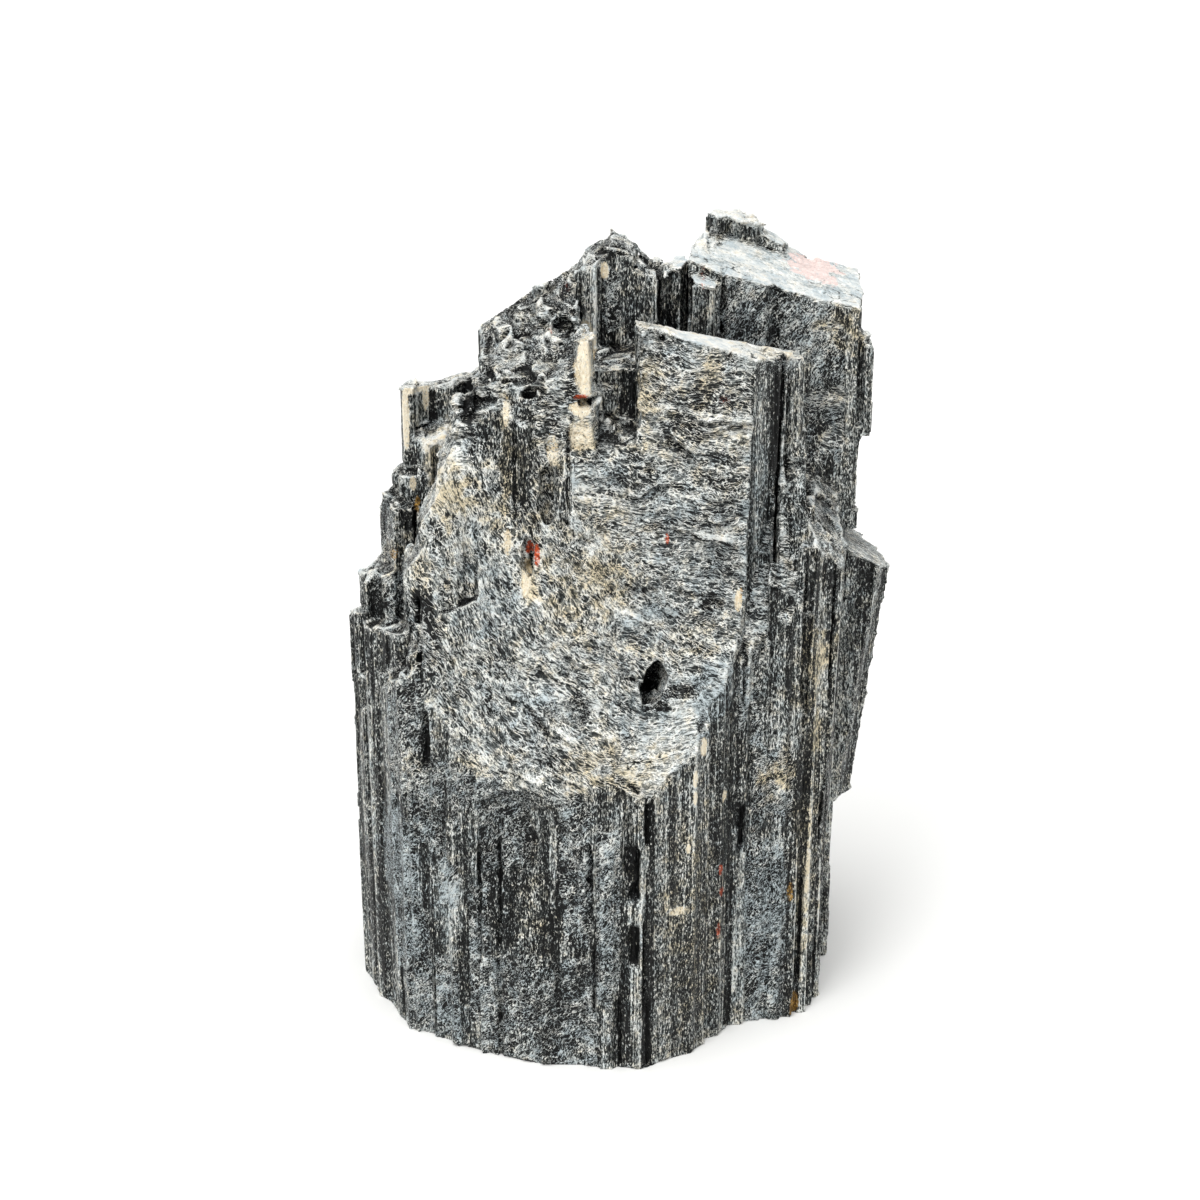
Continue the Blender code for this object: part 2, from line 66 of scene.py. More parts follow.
def placed(point):
    """A place on the plan, in millimetres, as a place in the scene, in metres."""
    return Vector((np.array(point) + PLAN_SHIFT) * MM)


def linked(name, data):
    """A new object for a mesh, a lamp or a camera."""
    made = bpy.data.objects.new(name, data)
    bpy.context.scene.collection.objects.link(made)
    return made


pitch = math.radians(CAMERA_PITCH)
camera = linked("camera", bpy.data.cameras.new("camera"))
camera.data.lens = LENS
camera.data.sensor_width = SENSOR
camera.data.clip_start = 10 * MM
camera.location = placed((0, -CAMERA_DISTANCE * math.cos(pitch),
                          CAMERA_TARGET_LEVEL + CAMERA_DISTANCE * math.sin(pitch)))
camera.rotation_euler = (math.radians(90) - pitch, 0, 0)
bpy.context.scene.camera = camera
print("camera at", [round(v, 3) for v in camera.location], "m")

# %% [markdown]
# ## Two helpers
# Colours are written as sRGB hex values, the way a colour picker shows them. Blender's shaders work in
# linear light, so one function turns the one into the other. A second function adds a node to a tree, with
# its settings and links, and gives back one of its outputs, so that a pattern reads like a formula.

# %% Colour and node helpers
def colour(code):
    """An sRGB hex value as linear RGBA."""
    parts = [int(code[i:i + 2], 16) / 255 for i in (1, 3, 5)]
    return (*(c / 12.92 if c <= 0.04045 else ((c + 0.055) / 1.055) ** 2.4 for c in parts), 1.0)


def add(tree, kind, inputs=None, out=0, **settings):
    """Adds a node, sets it up, links or fills its inputs, and returns one output."""
    node = tree.nodes.new(kind)
    for name, value in settings.items():
        setattr(node, name, value)
    for key, value in (inputs or {}).items():
        if isinstance(value, bpy.types.NodeSocket):
            tree.links.new(value, node.inputs[key])
        else:
            node.inputs[key].default_value = value
    return node.outputs[out]


# %% [markdown]
# ## A dense copy of the solid
# The solid's facets are several millimetres wide. A voxel remesh turns a copy of it into an even net of
# small faces, fine enough to carry real relief. It also rounds every edge by about a voxel, as a worn
# natural edge is.

# %% Remesh a copy
VOXEL = 0.31
WELD = 0.001


def as_plain_mesh(made, name):
    """The evaluated shape of an object as a new plain mesh, and the object removed."""
    bpy.context.view_layer.update()
    evaluated = made.evaluated_get(bpy.context.evaluated_depsgraph_get())
    mesh = bpy.data.meshes.new_from_object(evaluated)
    mesh.name = name
    bpy.data.objects.remove(made)
    return mesh


whole = bmesh.new()
whole.from_mesh(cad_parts["tourmaline_crystal"].data)
bmesh.ops.remove_doubles(whole, verts=whole.verts, dist=WELD * MM)
rough_mesh = bpy.data.meshes.new("stone_rough")
whole.to_mesh(rough_mesh)
whole.free()
rough = linked("stone_rough", rough_mesh)
remesh = rough.modifiers.new("dense", "REMESH")
remesh.mode = "VOXEL"
remesh.voxel_size = VOXEL * MM
dense = as_plain_mesh(rough, "stone_dense")
print("dense mesh:", len(dense.vertices), "points,", len(dense.polygons), "faces")

# %% [markdown]
# ## Zones
# Each part of the surface has its own texture: ribs on the prism sides, grain on the breaks, crumbs on the
# ends. How much of each a point has is worked out once, with arrays, and stored on the mesh as attributes.
# The relief and the material both read them, so colour and shape agree.

# %% Measure the surface
count = len(dense.vertices)
points = np.empty(count * 3, np.float32)
dense.vertices.foreach_get("co", points)
points = points.reshape(-1, 3) / MM - PLAN_SHIFT
normals = np.empty(count * 3, np.float32)
dense.vertex_normals.foreach_get("vector", normals)
normals = normals.reshape(-1, 3)
ends = np.empty(len(dense.edges) * 2, np.int32)
dense.edges.foreach_get("vertices", ends)
neighbours = np.bincount(ends, minlength=count).clip(1)
from_point, to_point = ends.reshape(-1, 2).T
x, y, z = points.T
print("the copy spans", points.min(axis=0).round(1), "to", points.max(axis=0).round(1), "mm on the plan")


def spread(values, reach):
    """The values averaged with their neighbours' over and over, about as far as reach, in millimetres."""
    for _ in range(round((reach / VOXEL) ** 2)):
        total = np.bincount(from_point, values[to_point], count)
        total += np.bincount(to_point, values[from_point], count)
        values = 0.5 * values + 0.5 * total / neighbours
    return values


def ramp(values, low, high):
    """0 below low, 1 above high, and a smooth step between."""
    share = ((values - low) / (high - low)).clip(0, 1)
    return share * share * (3 - 2 * share)


# %% Chance values in space
CLOUD_CELLS = 64
STRIP_CELLS = (48, 48, 24)


def cloud(pitch, seed):
    """Smooth chance values from 0 to 1, with lumps about as wide as pitch, in millimetres."""
    grid = np.random.default_rng(seed).random((CLOUD_CELLS, CLOUD_CELLS, CLOUD_CELLS))
    cell = points / pitch
    low = np.floor(cell).astype(int)
    part = cell - low
    part = part * part * (3 - 2 * part)
    value = np.zeros(count)
    for corner in np.ndindex(2, 2, 2):
        i, j, k = ((low + corner) % CLOUD_CELLS).T
        value += grid[i, j, k] * np.prod(np.where(corner, part, 1 - part), axis=1)
    return value


# Uneven values about 0. They make the border of every zone ragged.
wobble = cloud(1.6, 3) + 0.6 * cloud(0.8, 4) - 0.8
print("wobble from", round(wobble.min(), 2), "to", round(wobble.max(), 2))


# %% Chance values for the long prisms
def strips(pitch, tall, seed):
    """A chance value for each of the long upright prisms in the sides, about as wide as pitch."""
    chance = np.random.default_rng(seed)
    corners = chance.random((*STRIP_CELLS, 3))
    values = chance.random(STRIP_CELLS)
    cell = (points + wobble[:, None] * 0.3) / (pitch, pitch, tall)
    low = np.floor(cell).astype(int)
    nearest = np.full(count, np.inf)
    found = np.zeros(count)
    for step in np.ndindex(3, 3, 3):
        i, j, k = ((low + step) % STRIP_CELLS).T
        away = ((corners[i, j, k] + low + step - 1 - cell) ** 2).sum(axis=1)
        closer = away < nearest
        nearest = np.where(closer, away, nearest)
        found = np.where(closer, values[i, j, k], found)
    return found


# Each strip is 3.4 mm wide and 34 mm tall.
strip = strips(3.4, 34.0, 21)
print("chance values of the prisms from", round(strip.min(), 2), "to", round(strip.max(), 2))

# %% Ways to draw on the front
FRONT_SMOOTHED = 0.8
FRONT_TURN = 0.45

facing = ramp(-spread(normals[:, 1], FRONT_SMOOTHED), 0.0, FRONT_TURN)
print(f"facing the front: {facing.mean():.0%} of the surface")


def spots(table, ragged=0.5):
    """Egg-shaped regions on the front: x, z, half width, half height and strength of each."""
    found = np.zeros(count)
    for across, level, wide, high, strength in table:
        away = np.hypot((x - across) / wide, (z - level) / high) + ragged * wobble
        found += strength * (1 - ramp(away, 0.55, 1.15))
    return found * facing


def bars(table, ragged=0.3):
    """Upright bars on the front, with the same numbers. Their sides are nearly straight."""
    found = np.zeros(count)
    for across, level, wide, high, strength in table:
        beside = 1 - ramp(np.abs(x - across + ragged * wobble), 0.75 * wide, 0.75 * wide + 0.5)
        along = 1 - ramp(np.abs(z - level) / high + ragged * wobble, 0.8, 1.1)
        found = np.maximum(found, strength * beside * along)
    return found * facing


def slots(table, ragged=0.3):
    """Narrow upright slits on the front: x, z, half height, width and depth of each."""
    found = np.zeros(count)
    for across, level, high, wide, deep in table:
        thin = 1 - ramp(np.abs(x - across + ragged * wobble), 0.12 * wide, 0.62 * wide)
        found = np.maximum(found, deep * thin * (1 - ramp(np.abs(z - level) / high, 0.7, 1.0)))
    return found * facing


def within(outline):
    """The inside of a convex outline of x and z, drawn anticlockwise, with a slightly ragged border."""
    found = np.ones(count)
    for start, end in zip(outline, outline[1:] + outline[:1]):
        run, rise = np.subtract(end, start) / math.dist(start, end)
        inward = run * (z - start[1]) - rise * (x - start[0])
        found *= ramp(inward + 0.5 * wobble, -0.3, 0.5)
    return found


# %% Find the sides, the breaks and the ends
# A pair of numbers says where a zone begins and where it is full. A slope is 0 on an upright face and 1 on a
# level one.
SLOPE_SMOOTHED = 0.9
END_SLOPE = (0.34, 0.62)
BREAK_SLOPE = (0.06, 0.17)
BREAK_EDGE = [(-36, 92), (-31, 74), (-24, 58), (-14, 56), (-6, 55), (2, 58), (9, 54.5), (13, 58),
              (17.5, 66), (24, 75), (27, 84)]
BREAK_EDGE_RAGGED = 2.5
BREAK_DEPTH = (13.5, 15.5)
BREAK_RIGHT_END = 27.2
LOW_FRONT_LEVEL = 56
COLUMNS_ON_BREAK = [(-14, 113, 3.6, 11, 0.9), (-6.5, 108, 2.4, 9, 0.8), (-19, 116, 3.0, 7, 0.8),
                    (37.5, 99, 5.5, 15, 0.8)]

# A face that looks up is a broken end. Any other face that slopes is a break, and so is the front above
# BREAK_EDGE, but not the front below it. What is left is the upright side of a prism.
top = ramp(spread(normals[:, 2], SLOPE_SMOOTHED), *END_SLOPE)
sloping = ramp(spread(np.abs(normals[:, 2]), SLOPE_SMOOTHED), *BREAK_SLOPE)
edge_level = np.interp(x, *zip(*BREAK_EDGE)) + BREAK_EDGE_RAGGED * wobble
front = ramp(z - edge_level, -2.0, 2.0) * ramp(-y, *BREAK_DEPTH) * facing
front *= ramp(BREAK_RIGHT_END - x, 0, 1.5)
low_front = facing * ramp(LOW_FRONT_LEVEL - z, 0, 4)
broken = np.maximum(front, sloping * (1 - low_front)) * (1 - top)
broken *= 1 - spots(COLUMNS_ON_BREAK).clip(0, 1)
side = (1 - broken) * (1 - top)
for name, share in (("side", side), ("top", top), ("break", broken)):
    print(f"{name}: {share.mean():.0%} of the surface")

# %% Find the smooth ledges
# The plateau is the large flat end at the upper right, and the crest is the row of crumbs that stands on it.
# The slab's top is the narrow end in front of them. The shoulder is the low end at the far right. The left
# ends are all the ends to the left of the plateau. The ledge is the smooth tongue at the foot of the break.
PLATEAU_LEFT = (12, 14)
PLATEAU_LEVEL = (129, 131)
CREST_FOOT = 141.5
CREST_RISE = 0.1
SLAB_LEFT = (4, 6)
SLAB_DEPTH = (7, 9)
SLAB_LEVEL = (120, 122)
SLAB_HIGHEST = (136, 138)
SHOULDER_LEFT = (42, 44)
SHOULDER_HIGHEST = (92, 94)
LEFT_ENDS_RIGHT = (8, 12)
LEFT_ENDS_LEVEL = (84, 90)
LEFT_ENDS_DEPTH = (-12, -8)
LEDGE_DEPTH = (22, 25)
LEDGE_OUTLINE = [(2.3, 59.5), (9.1, 54.7), (17.2, 63.0), (17.9, 68.4), (16.0, 71.1), (7.1, 65.7)]

above_foot = ramp(z - CREST_FOOT - CREST_RISE * x, -0.5, 1.0)
plateau = top * ramp(x, *PLATEAU_LEFT) * ramp(z, *PLATEAU_LEVEL) * (1 - above_foot)
crest = top * ramp(x, *PLATEAU_LEFT) * above_foot
slab_top = top * ramp(x, *SLAB_LEFT) * ramp(-y, *SLAB_DEPTH)
slab_top *= ramp(z, *SLAB_LEVEL) * (1 - ramp(z, *SLAB_HIGHEST))
shoulder = top * ramp(x, *SHOULDER_LEFT) * (1 - ramp(z, *SHOULDER_HIGHEST))
left_ends = top * (1 - ramp(x, *LEFT_ENDS_RIGHT)) * ramp(z, *LEFT_ENDS_LEVEL) * ramp(-y, *LEFT_ENDS_DEPTH)
ledge = facing * ramp(-y, *LEDGE_DEPTH) * within(LEDGE_OUTLINE)
print(f"plateau and ledge: {np.maximum(plateau, ledge).mean():.1%} of the surface")

# %% Find the two grains of the break
# On the upper break the grain lies level. Below, it swirls round a point to the upper right.
SWIRL_CENTRE = (40.0, 130.0)
SWIRL_RADIUS = 75.0
SWIRL_EDGE_RAGGED = 6
SWIRL_LEVEL = (40, 46)
SWIRL_EDGE = [(-10, 112), (-3, 102), (6, 92), (16, 84), (27, 82)]

swirl_level = np.interp(x, *zip(*SWIRL_EDGE)) + SWIRL_EDGE_RAGGED * wobble
below = ramp(swirl_level - z, -4, 4) * ramp(z, *SWIRL_LEVEL)
turn = np.arctan2(x - SWIRL_CENTRE[0], SWIRL_CENTRE[1] - z)
radius = np.hypot(x - SWIRL_CENTRE[0], z - SWIRL_CENTRE[1])
print(f"swirling grain: {(broken * below).mean():.0%} of the surface")

# %% [markdown]
# ## Places seen in the photograph
# Slits, stains, feldspar and darker or paler places lie where the photograph shows them. Each is one row: a
# place on the plan, a size and a strength. They are few and large, and the texture inside them comes from
# chance.

# %% Slits, and painted shadows in hollows
SLITS = [
    (8.6, 49.5, 4.5, 1.1, 1.6), (5.8, 40.0, 6.0, 2.6, 1.8), (5.9, 25.4, 4.6, 2.6, 1.4),
    (-1.8, 37, 9.5, 0.8, 1.4), (-21.9, 31, 13, 0.9, 1.4), (-18.2, 33, 12, 0.8, 1.1),
    (-31.4, 61, 6.5, 1.5, 1.6), (-32.2, 81, 8, 1.0, 1.6), (-34.2, 80, 7.5, 0.8, 1.3),
    (26.0, 72, 7, 0.8, 1.2), (36.8, 80, 16, 0.8, 1.4), (42.4, 78, 15, 0.8, 1.1),
    (41.6, 25, 23, 0.9, 1.3), (37.9, 18, 14, 1.2, 1.0), (8.2, 21, 10, 0.8, 1.0),
    (-1.1, 18, 8, 0.7, 1.0), (3.6, 7, 8, 0.8, 0.9), (9.1, 7, 8, 0.7, 0.9), (22.0, 135, 7, 0.9, 1.4),
    (16.0, 136, 5, 0.9, 1.0), (10.7, 137, 6, 1.1, 1.4), (-14.7, 110, 9, 0.8, 0.6),
    (-5.5, 109, 10, 0.8, 0.6), (33.6, 115, 11, 0.9, 1.2), (26.3, 41.9, 4.6, 1.8, 1.4),
]
# The second list is painted shadow: near black bars in hollows, gaps and slits. Each row is x, z, half
# width, half height and strength.
PAINTED_SHADOWS = [
    (-22.8, 123.4, 1.6, 4.4, 0.8), (-31.0, 86.6, 2.0, 3.7, 0.5), (5.8, 40.0, 1.5, 6.0, 0.15),
    (5.9, 25.4, 1.5, 4.6, 0.15), (8.6, 50.9, 1.1, 4.5, 0.15), (9.2, 71.0, 1.7, 3.4, 0.6),
    (11.2, 69.4, 0.9, 1.8, 0.8), (7.4, 74.0, 0.5, 1.2, 0.5), (14.4, 70.8, 3.0, 1.2, 0.7),
    (-12.6, 42.0, 1.2, 4.0, 0.4), (26.3, 41.9, 1.0, 4.6, 0.5), (4.9, 122.7, 1.4, 5.5, 0.3),
    (-5.7, 134.0, 2.5, 2.2, 0.5), (-4.9, 124.7, 0.8, 2.8, 0.4), (-11.2, 126.0, 2.1, 0.8, 0.4),
    (-34.7, 98.2, 1.7, 2.0, 0.6), (-11.2, 99.7, 1.2, 2.6, 0.4), (19.3, 86.1, 1.5, 2.0, 0.5),
    (-31.5, 59.6, 1.3, 3.9, 0.35), (-17.0, 32.0, 1.2, 8.0, 0.2), (31.2, 108.0, 0.8, 22.0, 0.5),
    (-38.6, 99.0, 1.0, 4.0, 0.2), (-43.9, 17.5, 2.2, 15.3, 0.25),
]
print("slits:", len(SLITS), "black hollows:", len(PAINTED_SHADOWS))

# %% Warm and cool places
WARM = [
    (-27.3, 108, 4.8, 7.5, 0.7), (-16.2, 113, 1.2, 11, 0.8), (-11.8, 91, 2.2, 4, 0.8),
    (-2.9, 116.5, 2.6, 5, 1.0), (-38, 91, 4, 4, 0.7), (-30.8, 92, 3, 5, 0.6), (-34.5, 55, 4, 6, 0.6),
    (-23, 59, 4, 2.4, 0.7), (-3.6, 59.5, 4, 5, 0.55), (-31.3, 26, 1.6, 4, 0.5), (34, 53, 2.4, 6, 0.8),
    (40, 74, 5, 5, 0.8), (39.8, 58, 1.4, 5, 0.6), (30.4, 52, 1.6, 3, 0.6), (44, 129, 5, 6, 0.7),
    (8.6, 124.5, 2.8, 7, 0.8), (19, 126, 2.5, 4, 0.5), (6, 60, 9, 6, 0.6), (-2, 88, 10, 8, 0.6),
    (12, 80, 12, 4, 0.4), (38.5, 30, 1.2, 28, 0.5), (0, 98, 7, 11, 0.3), (3.9, 122, 2.2, 11, 0.2),
    (12.5, 137, 1.8, 2.7, 0.2), (-35, 97, 1.1, 4.7, 0.3), (-29.9, 64.5, 2.2, 6.8, 0.2),
    (16.4, 25.6, 7.2, 28, 0.5), (-12.2, 29.8, 5, 10, 0.4), (40.1, 42, 4.7, 39, 0.4),
    (7.5, 118, 2, 8, 0.4), (31.6, 50.2, 3.7, 4.7, 0.7), (37.9, 72.6, 2.4, 10.7, 0.5),
    (-11.3, 106, 6, 12, 0.4), (-20.9, 98.4, 7, 11, 0.5), (17.8, 114.7, 10, 14, 0.25),
]
COOL = [
    (0, 109, 6, 2.8, 0.7), (20, 70, 5, 6, 0.9), (-22, 96, 5, 7, 0.6), (7, 66, 5, 5, 0.6),
    (14, 104, 9, 6, 0.3), (20, 92, 5, 6, 0.4), (-14, 70, 8, 6, 0.3), (28, 100, 4, 18, 0.5),
    (8.8, 82.4, 7, 4.7, 0.6), (-37.4, 36.7, 4.4, 10.4, 0.6), (-28, 6.6, 3.7, 5.4, 0.7),
    (26, 25, 2.3, 20, 0.2), (32, 25, 2.8, 20, 0.2), (-35.3, 29.7, 7.4, 19, 0.5),
    (31.7, 21.3, 6, 15, 0.35), (-18.4, 87.9, 4.4, 7.4, 0.4), (-16.4, 28, 3.6, 8, 0.25),
    (1, 25, 2.7, 10, 0.2), (-28, 29, 3.2, 11.4, 0.2), (10.6, 62, 5.3, 5.8, 0.2),
]
print("warm places:", len(WARM), "cool places:", len(COOL))

# %% Pale and dark places
PALE = [
    (0, 109, 6, 2.8, 0.1), (20, 70, 5, 6, 0.1), (-28.5, 10, 2.4, 9, 0.16), (-27.5, 33.7, 2.3, 4, 0.2),
    (-37.6, 34.7, 4.4, 9.7, 0.14), (-29.7, 112.5, 3.4, 2.6, 0.2), (-27.3, 108, 4.8, 7.5, 0.2),
    (-24, 100, 8, 10, 0.06), (16, 104, 12, 2.5, 0.05), (31.2, 19.2, 4.7, 17.4, 0.1),
    (36, 118, 1.2, 10, 0.12), (10, 83, 10, 6, 0.05), (36, 60, 3, 6, 0.1), (-34.5, 55, 4, 6, 0.1),
    (26.7, 65, 2.3, 18, 0.06), (32.7, 64, 2.7, 18, 0.18), (39.6, 69, 3.2, 16, 0.25),
    (25.7, 25.5, 2.3, 20, 0.22), (38.3, 26.3, 2.4, 23.4, 0.27), (41.9, 68.4, 2, 16, 0.14),
    (26.2, 145.6, 5.1, 3.5, 0.28), (38, 130.6, 7.2, 6.4, 0.16), (21.4, 134, 3.6, 3.6, 0.14),
    (44.7, 114, 4.1, 7.6, 0.06), (3.9, 122.2, 2.2, 10.8, 0.2), (12.5, 136.8, 1.8, 2.7, 0.22),
    (0, 98, 7, 11, 0.07), (8.8, 82.4, 7.1, 4.7, 0.05), (-35, 97, 1.1, 4.7, 0.3),
    (-29.9, 64.5, 2.2, 6.8, 0.34), (-28, 29, 3.2, 11.4, 0.3), (31.6, 50.2, 3.7, 4.7, 0.15),
    (40.8, 23.1, 2.7, 17, 0.18), (32.2, 19.2, 5.7, 15, 0.06), (-13, 128, 7.8, 2.7, 0.14),
    (-28, 6.6, 3.7, 5.4, 0.12), (-44, 5.8, 2, 6.7, 0.2), (2.2, 51.5, 2.2, 6.8, 0.1),
]
DARK = [
    (-38.7, 76, 5, 9, 0.06), (-42, 72, 3, 12, 0.06), (-12, 30, 10, 13, 0.05), (17, 34, 7.5, 34, 0.1),
    (-15.5, 46.7, 4.4, 4.6, 0.14), (12, 137, 6, 6, 0.1), (51, 70, 2.5, 18, 0.08),
    (4, 128, 3.5, 8, 0.1), (-8, 61, 5, 3, 0.1), (2, 57, 4, 3, 0.12), (16, 116, 5, 3, 0.1),
    (20, 102, 5, 4, 0.08), (3, 112, 4, 4, 0.1), (50, 61.6, 1.9, 12.5, 0.2), (3.1, 146.3, 4, 3.1, 0.34),
    (36.5, 104, 4, 10, 0.12), (-22, 126, 3, 4.4, 0.32), (-21.5, 116, 3.4, 4, 0.34),
    (18.8, 66, 1.6, 5, 0.15), (-9.5, 120, 2.6, 4.4, 0.25), (18.1, 130.4, 9.5, 2.6, 0.11),
    (18.2, 121, 9.5, 6.2, 0.1), (18.3, 106, 9.6, 5.5, 0.09), (-12.3, 66, 5.3, 5.7, 0.18),
    (-40.7, 95.3, 2.3, 6.7, 0.27), (-28.6, 98.6, 1.7, 3.7, 0.28), (-28.5, 83.7, 2.2, 4.2, 0.3),
    (-17.3, 30.6, 7.3, 12, 0.16), (-4.1, 27, 6, 15, 0.1), (-11.9, 11.3, 14, 6.3, 0.1),
    (-31.4, 81.3, 4, 11, 0.14), (-40.1, 75.3, 3.5, 10, 0.06), (-36.1, 4.4, 2.9, 4.4, 0.26),
    (0.9, 24.7, 2.7, 10.3, 0.12), (3.7, 3.3, 11, 3, 0.14), (-16.2, 44.5, 3.6, 5, 0.12),
    (-16.4, 28, 3.6, 8, 0.05),
]
print("pale places:", len(PALE), "dark places:", len(DARK))

# %% Feldspar, rust and yellow dust
FELDSPAR = [
    (-2.5, 127.9, 2.1, 6.6, 1.0), (-3.3, 120.9, 2.4, 1.4, 1.0), (-3.3, 116.4, 2.6, 3.6, 0.6),
    (-34.9, 115.1, 0.8, 7.0, 1.0), (-33.0, 120.4, 2.6, 0.8, 1.0), (-31.5, 118.1, 0.7, 2.3, 0.9),
    (-33.7, 104.2, 0.7, 1.9, 0.8), (18.5, 61.4, 0.8, 2.2, 1.0), (17.0, 56.3, 0.6, 2.1, 1.0),
    (24.5, 86.2, 0.8, 2.3, 1.0), (0.8, 141.9, 0.9, 1.7, 1.0), (-16.2, 120.3, 0.8, 2.8, 0.7),
    (-8.2, 113.7, 1.4, 3.6, 0.6), (-12.9, 91.4, 1.0, 3.7, 0.9), (-16.1, 98.0, 0.9, 3.2, 0.7),
    (15.9, 42.9, 0.5, 1.3, 1.0), (17.0, 52.7, 0.5, 1.8, 0.8), (22.6, 50.0, 0.6, 1.4, 0.8),
    (14.2, 30.7, 2.1, 1.1, 0.7),
]
RUST = [
    (-12.4, 96.7, 0.8, 1.5, 1.0), (-11.0, 95.5, 0.6, 2.6, 0.9), (11.8, 97.6, 0.6, 1.8, 0.7),
    (22.1, 35.5, 0.5, 1.5, 0.8), (22.4, 30.8, 0.5, 1.3, 0.8), (21.9, 22.8, 0.4, 2.2, 0.7),
    (-8.6, 132.1, 0.5, 1.2, 0.4), (-5.9, 139.0, 0.5, 0.8, 0.4), (-3.4, 122.9, 1.9, 0.6, 1.0),
    (21.6, 121.7, 1.3, 1.3, 0.4), (18.3, 140.1, 0.6, 2.5, 0.4),
]
GOLD = [
    (37.4, 2.4, 1.0, 3.2, 1.0), (35.8, 27.1, 0.8, 2.6, 0.7), (25.0, 87.3, 0.4, 2.2, 0.5),
    (-33.0, 100.4, 0.6, 1.7, 0.8), (-37.3, 91.4, 1.2, 1.9, 0.5),
]
PINK_MIDDLE = np.array((39.6, 14.6, 138.6))
PINK_SIZE = np.array((5.6, 8.0, 6.0))
print("feldspar:", len(FELDSPAR), "rust:", len(RUST), "gold:", len(GOLD))

# %% Sides that are etched, not ribbed, and sides that are flat
MOTTLED = [
    (-37.6, 34.7, 4.6, 10, 1.0), (-27.5, 33.7, 2.4, 5, 1.0), (-28.5, 9.7, 2.8, 9, 0.9),
    (1.5, 31.0, 2.4, 18, 0.9), (31.2, 19.2, 4.9, 20, 1.0), (-35.1, 12, 4.3, 16, 0.6),
    (-4.6, 39.2, 3.4, 17, 0.6), (-11.5, 11, 14, 12, 0.8), (-17.1, 46.6, 6, 9, 0.9),
    (27.2, 53.2, 2.4, 16, 0.6), (-30, 48, 6, 10, 0.7), (-39.9, 94.3, 3.8, 6.7, 0.8),
    (32, 132, 14, 7, 0.9), (41.6, 116.2, 3.7, 13, 0.8), (-38.1, 85.2, 4.5, 4, 0.8),
    (-22, 54, 7, 5, 0.8), (2, 137, 2, 6, 0.5), (-21, 20, 4, 16, 0.5), (-34.5, 60, 5.5, 13, 0.9),
    (29.2, 74, 4.9, 20, 0.6), (32.5, 50, 4, 8, 0.8),
]
FLAT = [(17, 36, 7.5, 38, 1.0), (-43, 20, 3, 20, 1.0)]
print("etched sides:", len(MOTTLED), "flat sides:", len(FLAT))

# %% Draw them
feldspar = spots(FELDSPAR, 0.25).clip(0, 1)
plain = (1 - ledge) * (1 - shoulder) * (1 - 0.8 * feldspar)
pink = 1 - ramp(np.linalg.norm((points - PINK_MIDDLE) / PINK_SIZE, axis=1) + 0.8 * wobble, 0.6, 1.0)
mottled = bars(MOTTLED) + 0.8 * ramp(cloud(11.0, 5), 0.5, 0.6) * (1 - facing)
mottled = side * ramp(mottled + 0.6 * (strip - 0.5), 0.4, 0.6)

# Whole zones are paler or darker, or warmer or cooler, too. The plateau, the crest, the slab's top and the
# ledge face up and are painted paler: partly their own paler skin, partly painted light from above. Each
# prism in the sides has its own tone.
ZONE_TONES = [(plateau, 0.36), (ledge, 0.12), (crest, 0.3), (slab_top, 0.22), (shoulder, -0.08),
              (left_ends, -0.16)]
ZONE_WARMTHS = [(plateau, -0.4), (mottled, -0.4), (slab_top, 0.3)]
PRISM_TONES = 0.22

tone = spots(PALE) - spots(DARK) + PRISM_TONES * (strip - 0.5) * side
tone += sum(amount * zone for zone, amount in ZONE_TONES)
warm = spots(WARM) - spots(COOL) + sum(amount * zone for zone, amount in ZONE_WARMTHS)
print(f"mottled: {mottled.mean():.0%}, feldspar: {feldspar.mean():.1%} of the surface")

# %% Store the zones on the mesh
zones = {
    "side": side * (1 - ledge),
    "ribbed": side * plain * (1 - 0.7 * spots(FLAT).clip(0, 1)) * (1 - 0.6 * mottled),
    "crumb": top * (1 - plateau) * plain,
    "inner_crumb": ramp(spread(top, 1.2), 0.45, 0.95) * (1 - plateau) * plain,
    "smooth": np.maximum(plateau, np.maximum(ledge, shoulder)),
    "level": broken * (1 - below) * plain,
    "swirl": broken * below * plain,
    "level_ledged": broken * (1 - below) * plain * (0.15 + ramp(cloud(7.0, 8), 0.4, 0.75)),
    "swirl_ledged": broken * below * plain * (0.1 + 0.7 * ramp(cloud(7.0, 9), 0.45, 0.8)),
    "slit": slots(SLITS),
    "foot": ramp(z, 0.2, 0.7),
    "mottled": mottled,
    # Painted shadow in hollows and gaps.
    "black": bars(PAINTED_SHADOWS),
    "tone": tone,
    "warm": warm.clip(-1, 1),
    "feldspar": feldspar,
    "rust": spots(RUST).clip(0, 1),
    "gold": spots(GOLD).clip(0, 1),
    "pink": pink * top,
}
for name, values in zones.items():
    attribute = dense.attributes.new(name, "FLOAT", "POINT")
    attribute.data.foreach_set("value", values.astype(np.float32))
grain_place = np.column_stack((turn * SWIRL_RADIUS, y, radius)).astype(np.float32)
swirl_place = dense.attributes.new("swirl_place", "FLOAT_VECTOR", "POINT")
swirl_place.data.foreach_set("vector", grain_place.ravel())
print("stored", len(zones) + 1, "attributes")

# %% [markdown]
# ## Relief
# Tourmaline grows as bundles of thin prisms, and breaks across them in short splinters. Cells that are drawn
# out along Z give the ribs on the sides. The same kind of cell, drawn out along the grain, gives the
# splinters of the breaks. Short upright cells give the broken ends of thin prisms, the crumbs on the tops.
# Each cell has its own height or its own tilt, so neighbours meet in a crisp step. Noise roughens all of
# them. One tree holds all this, because each point takes a share of every pattern.

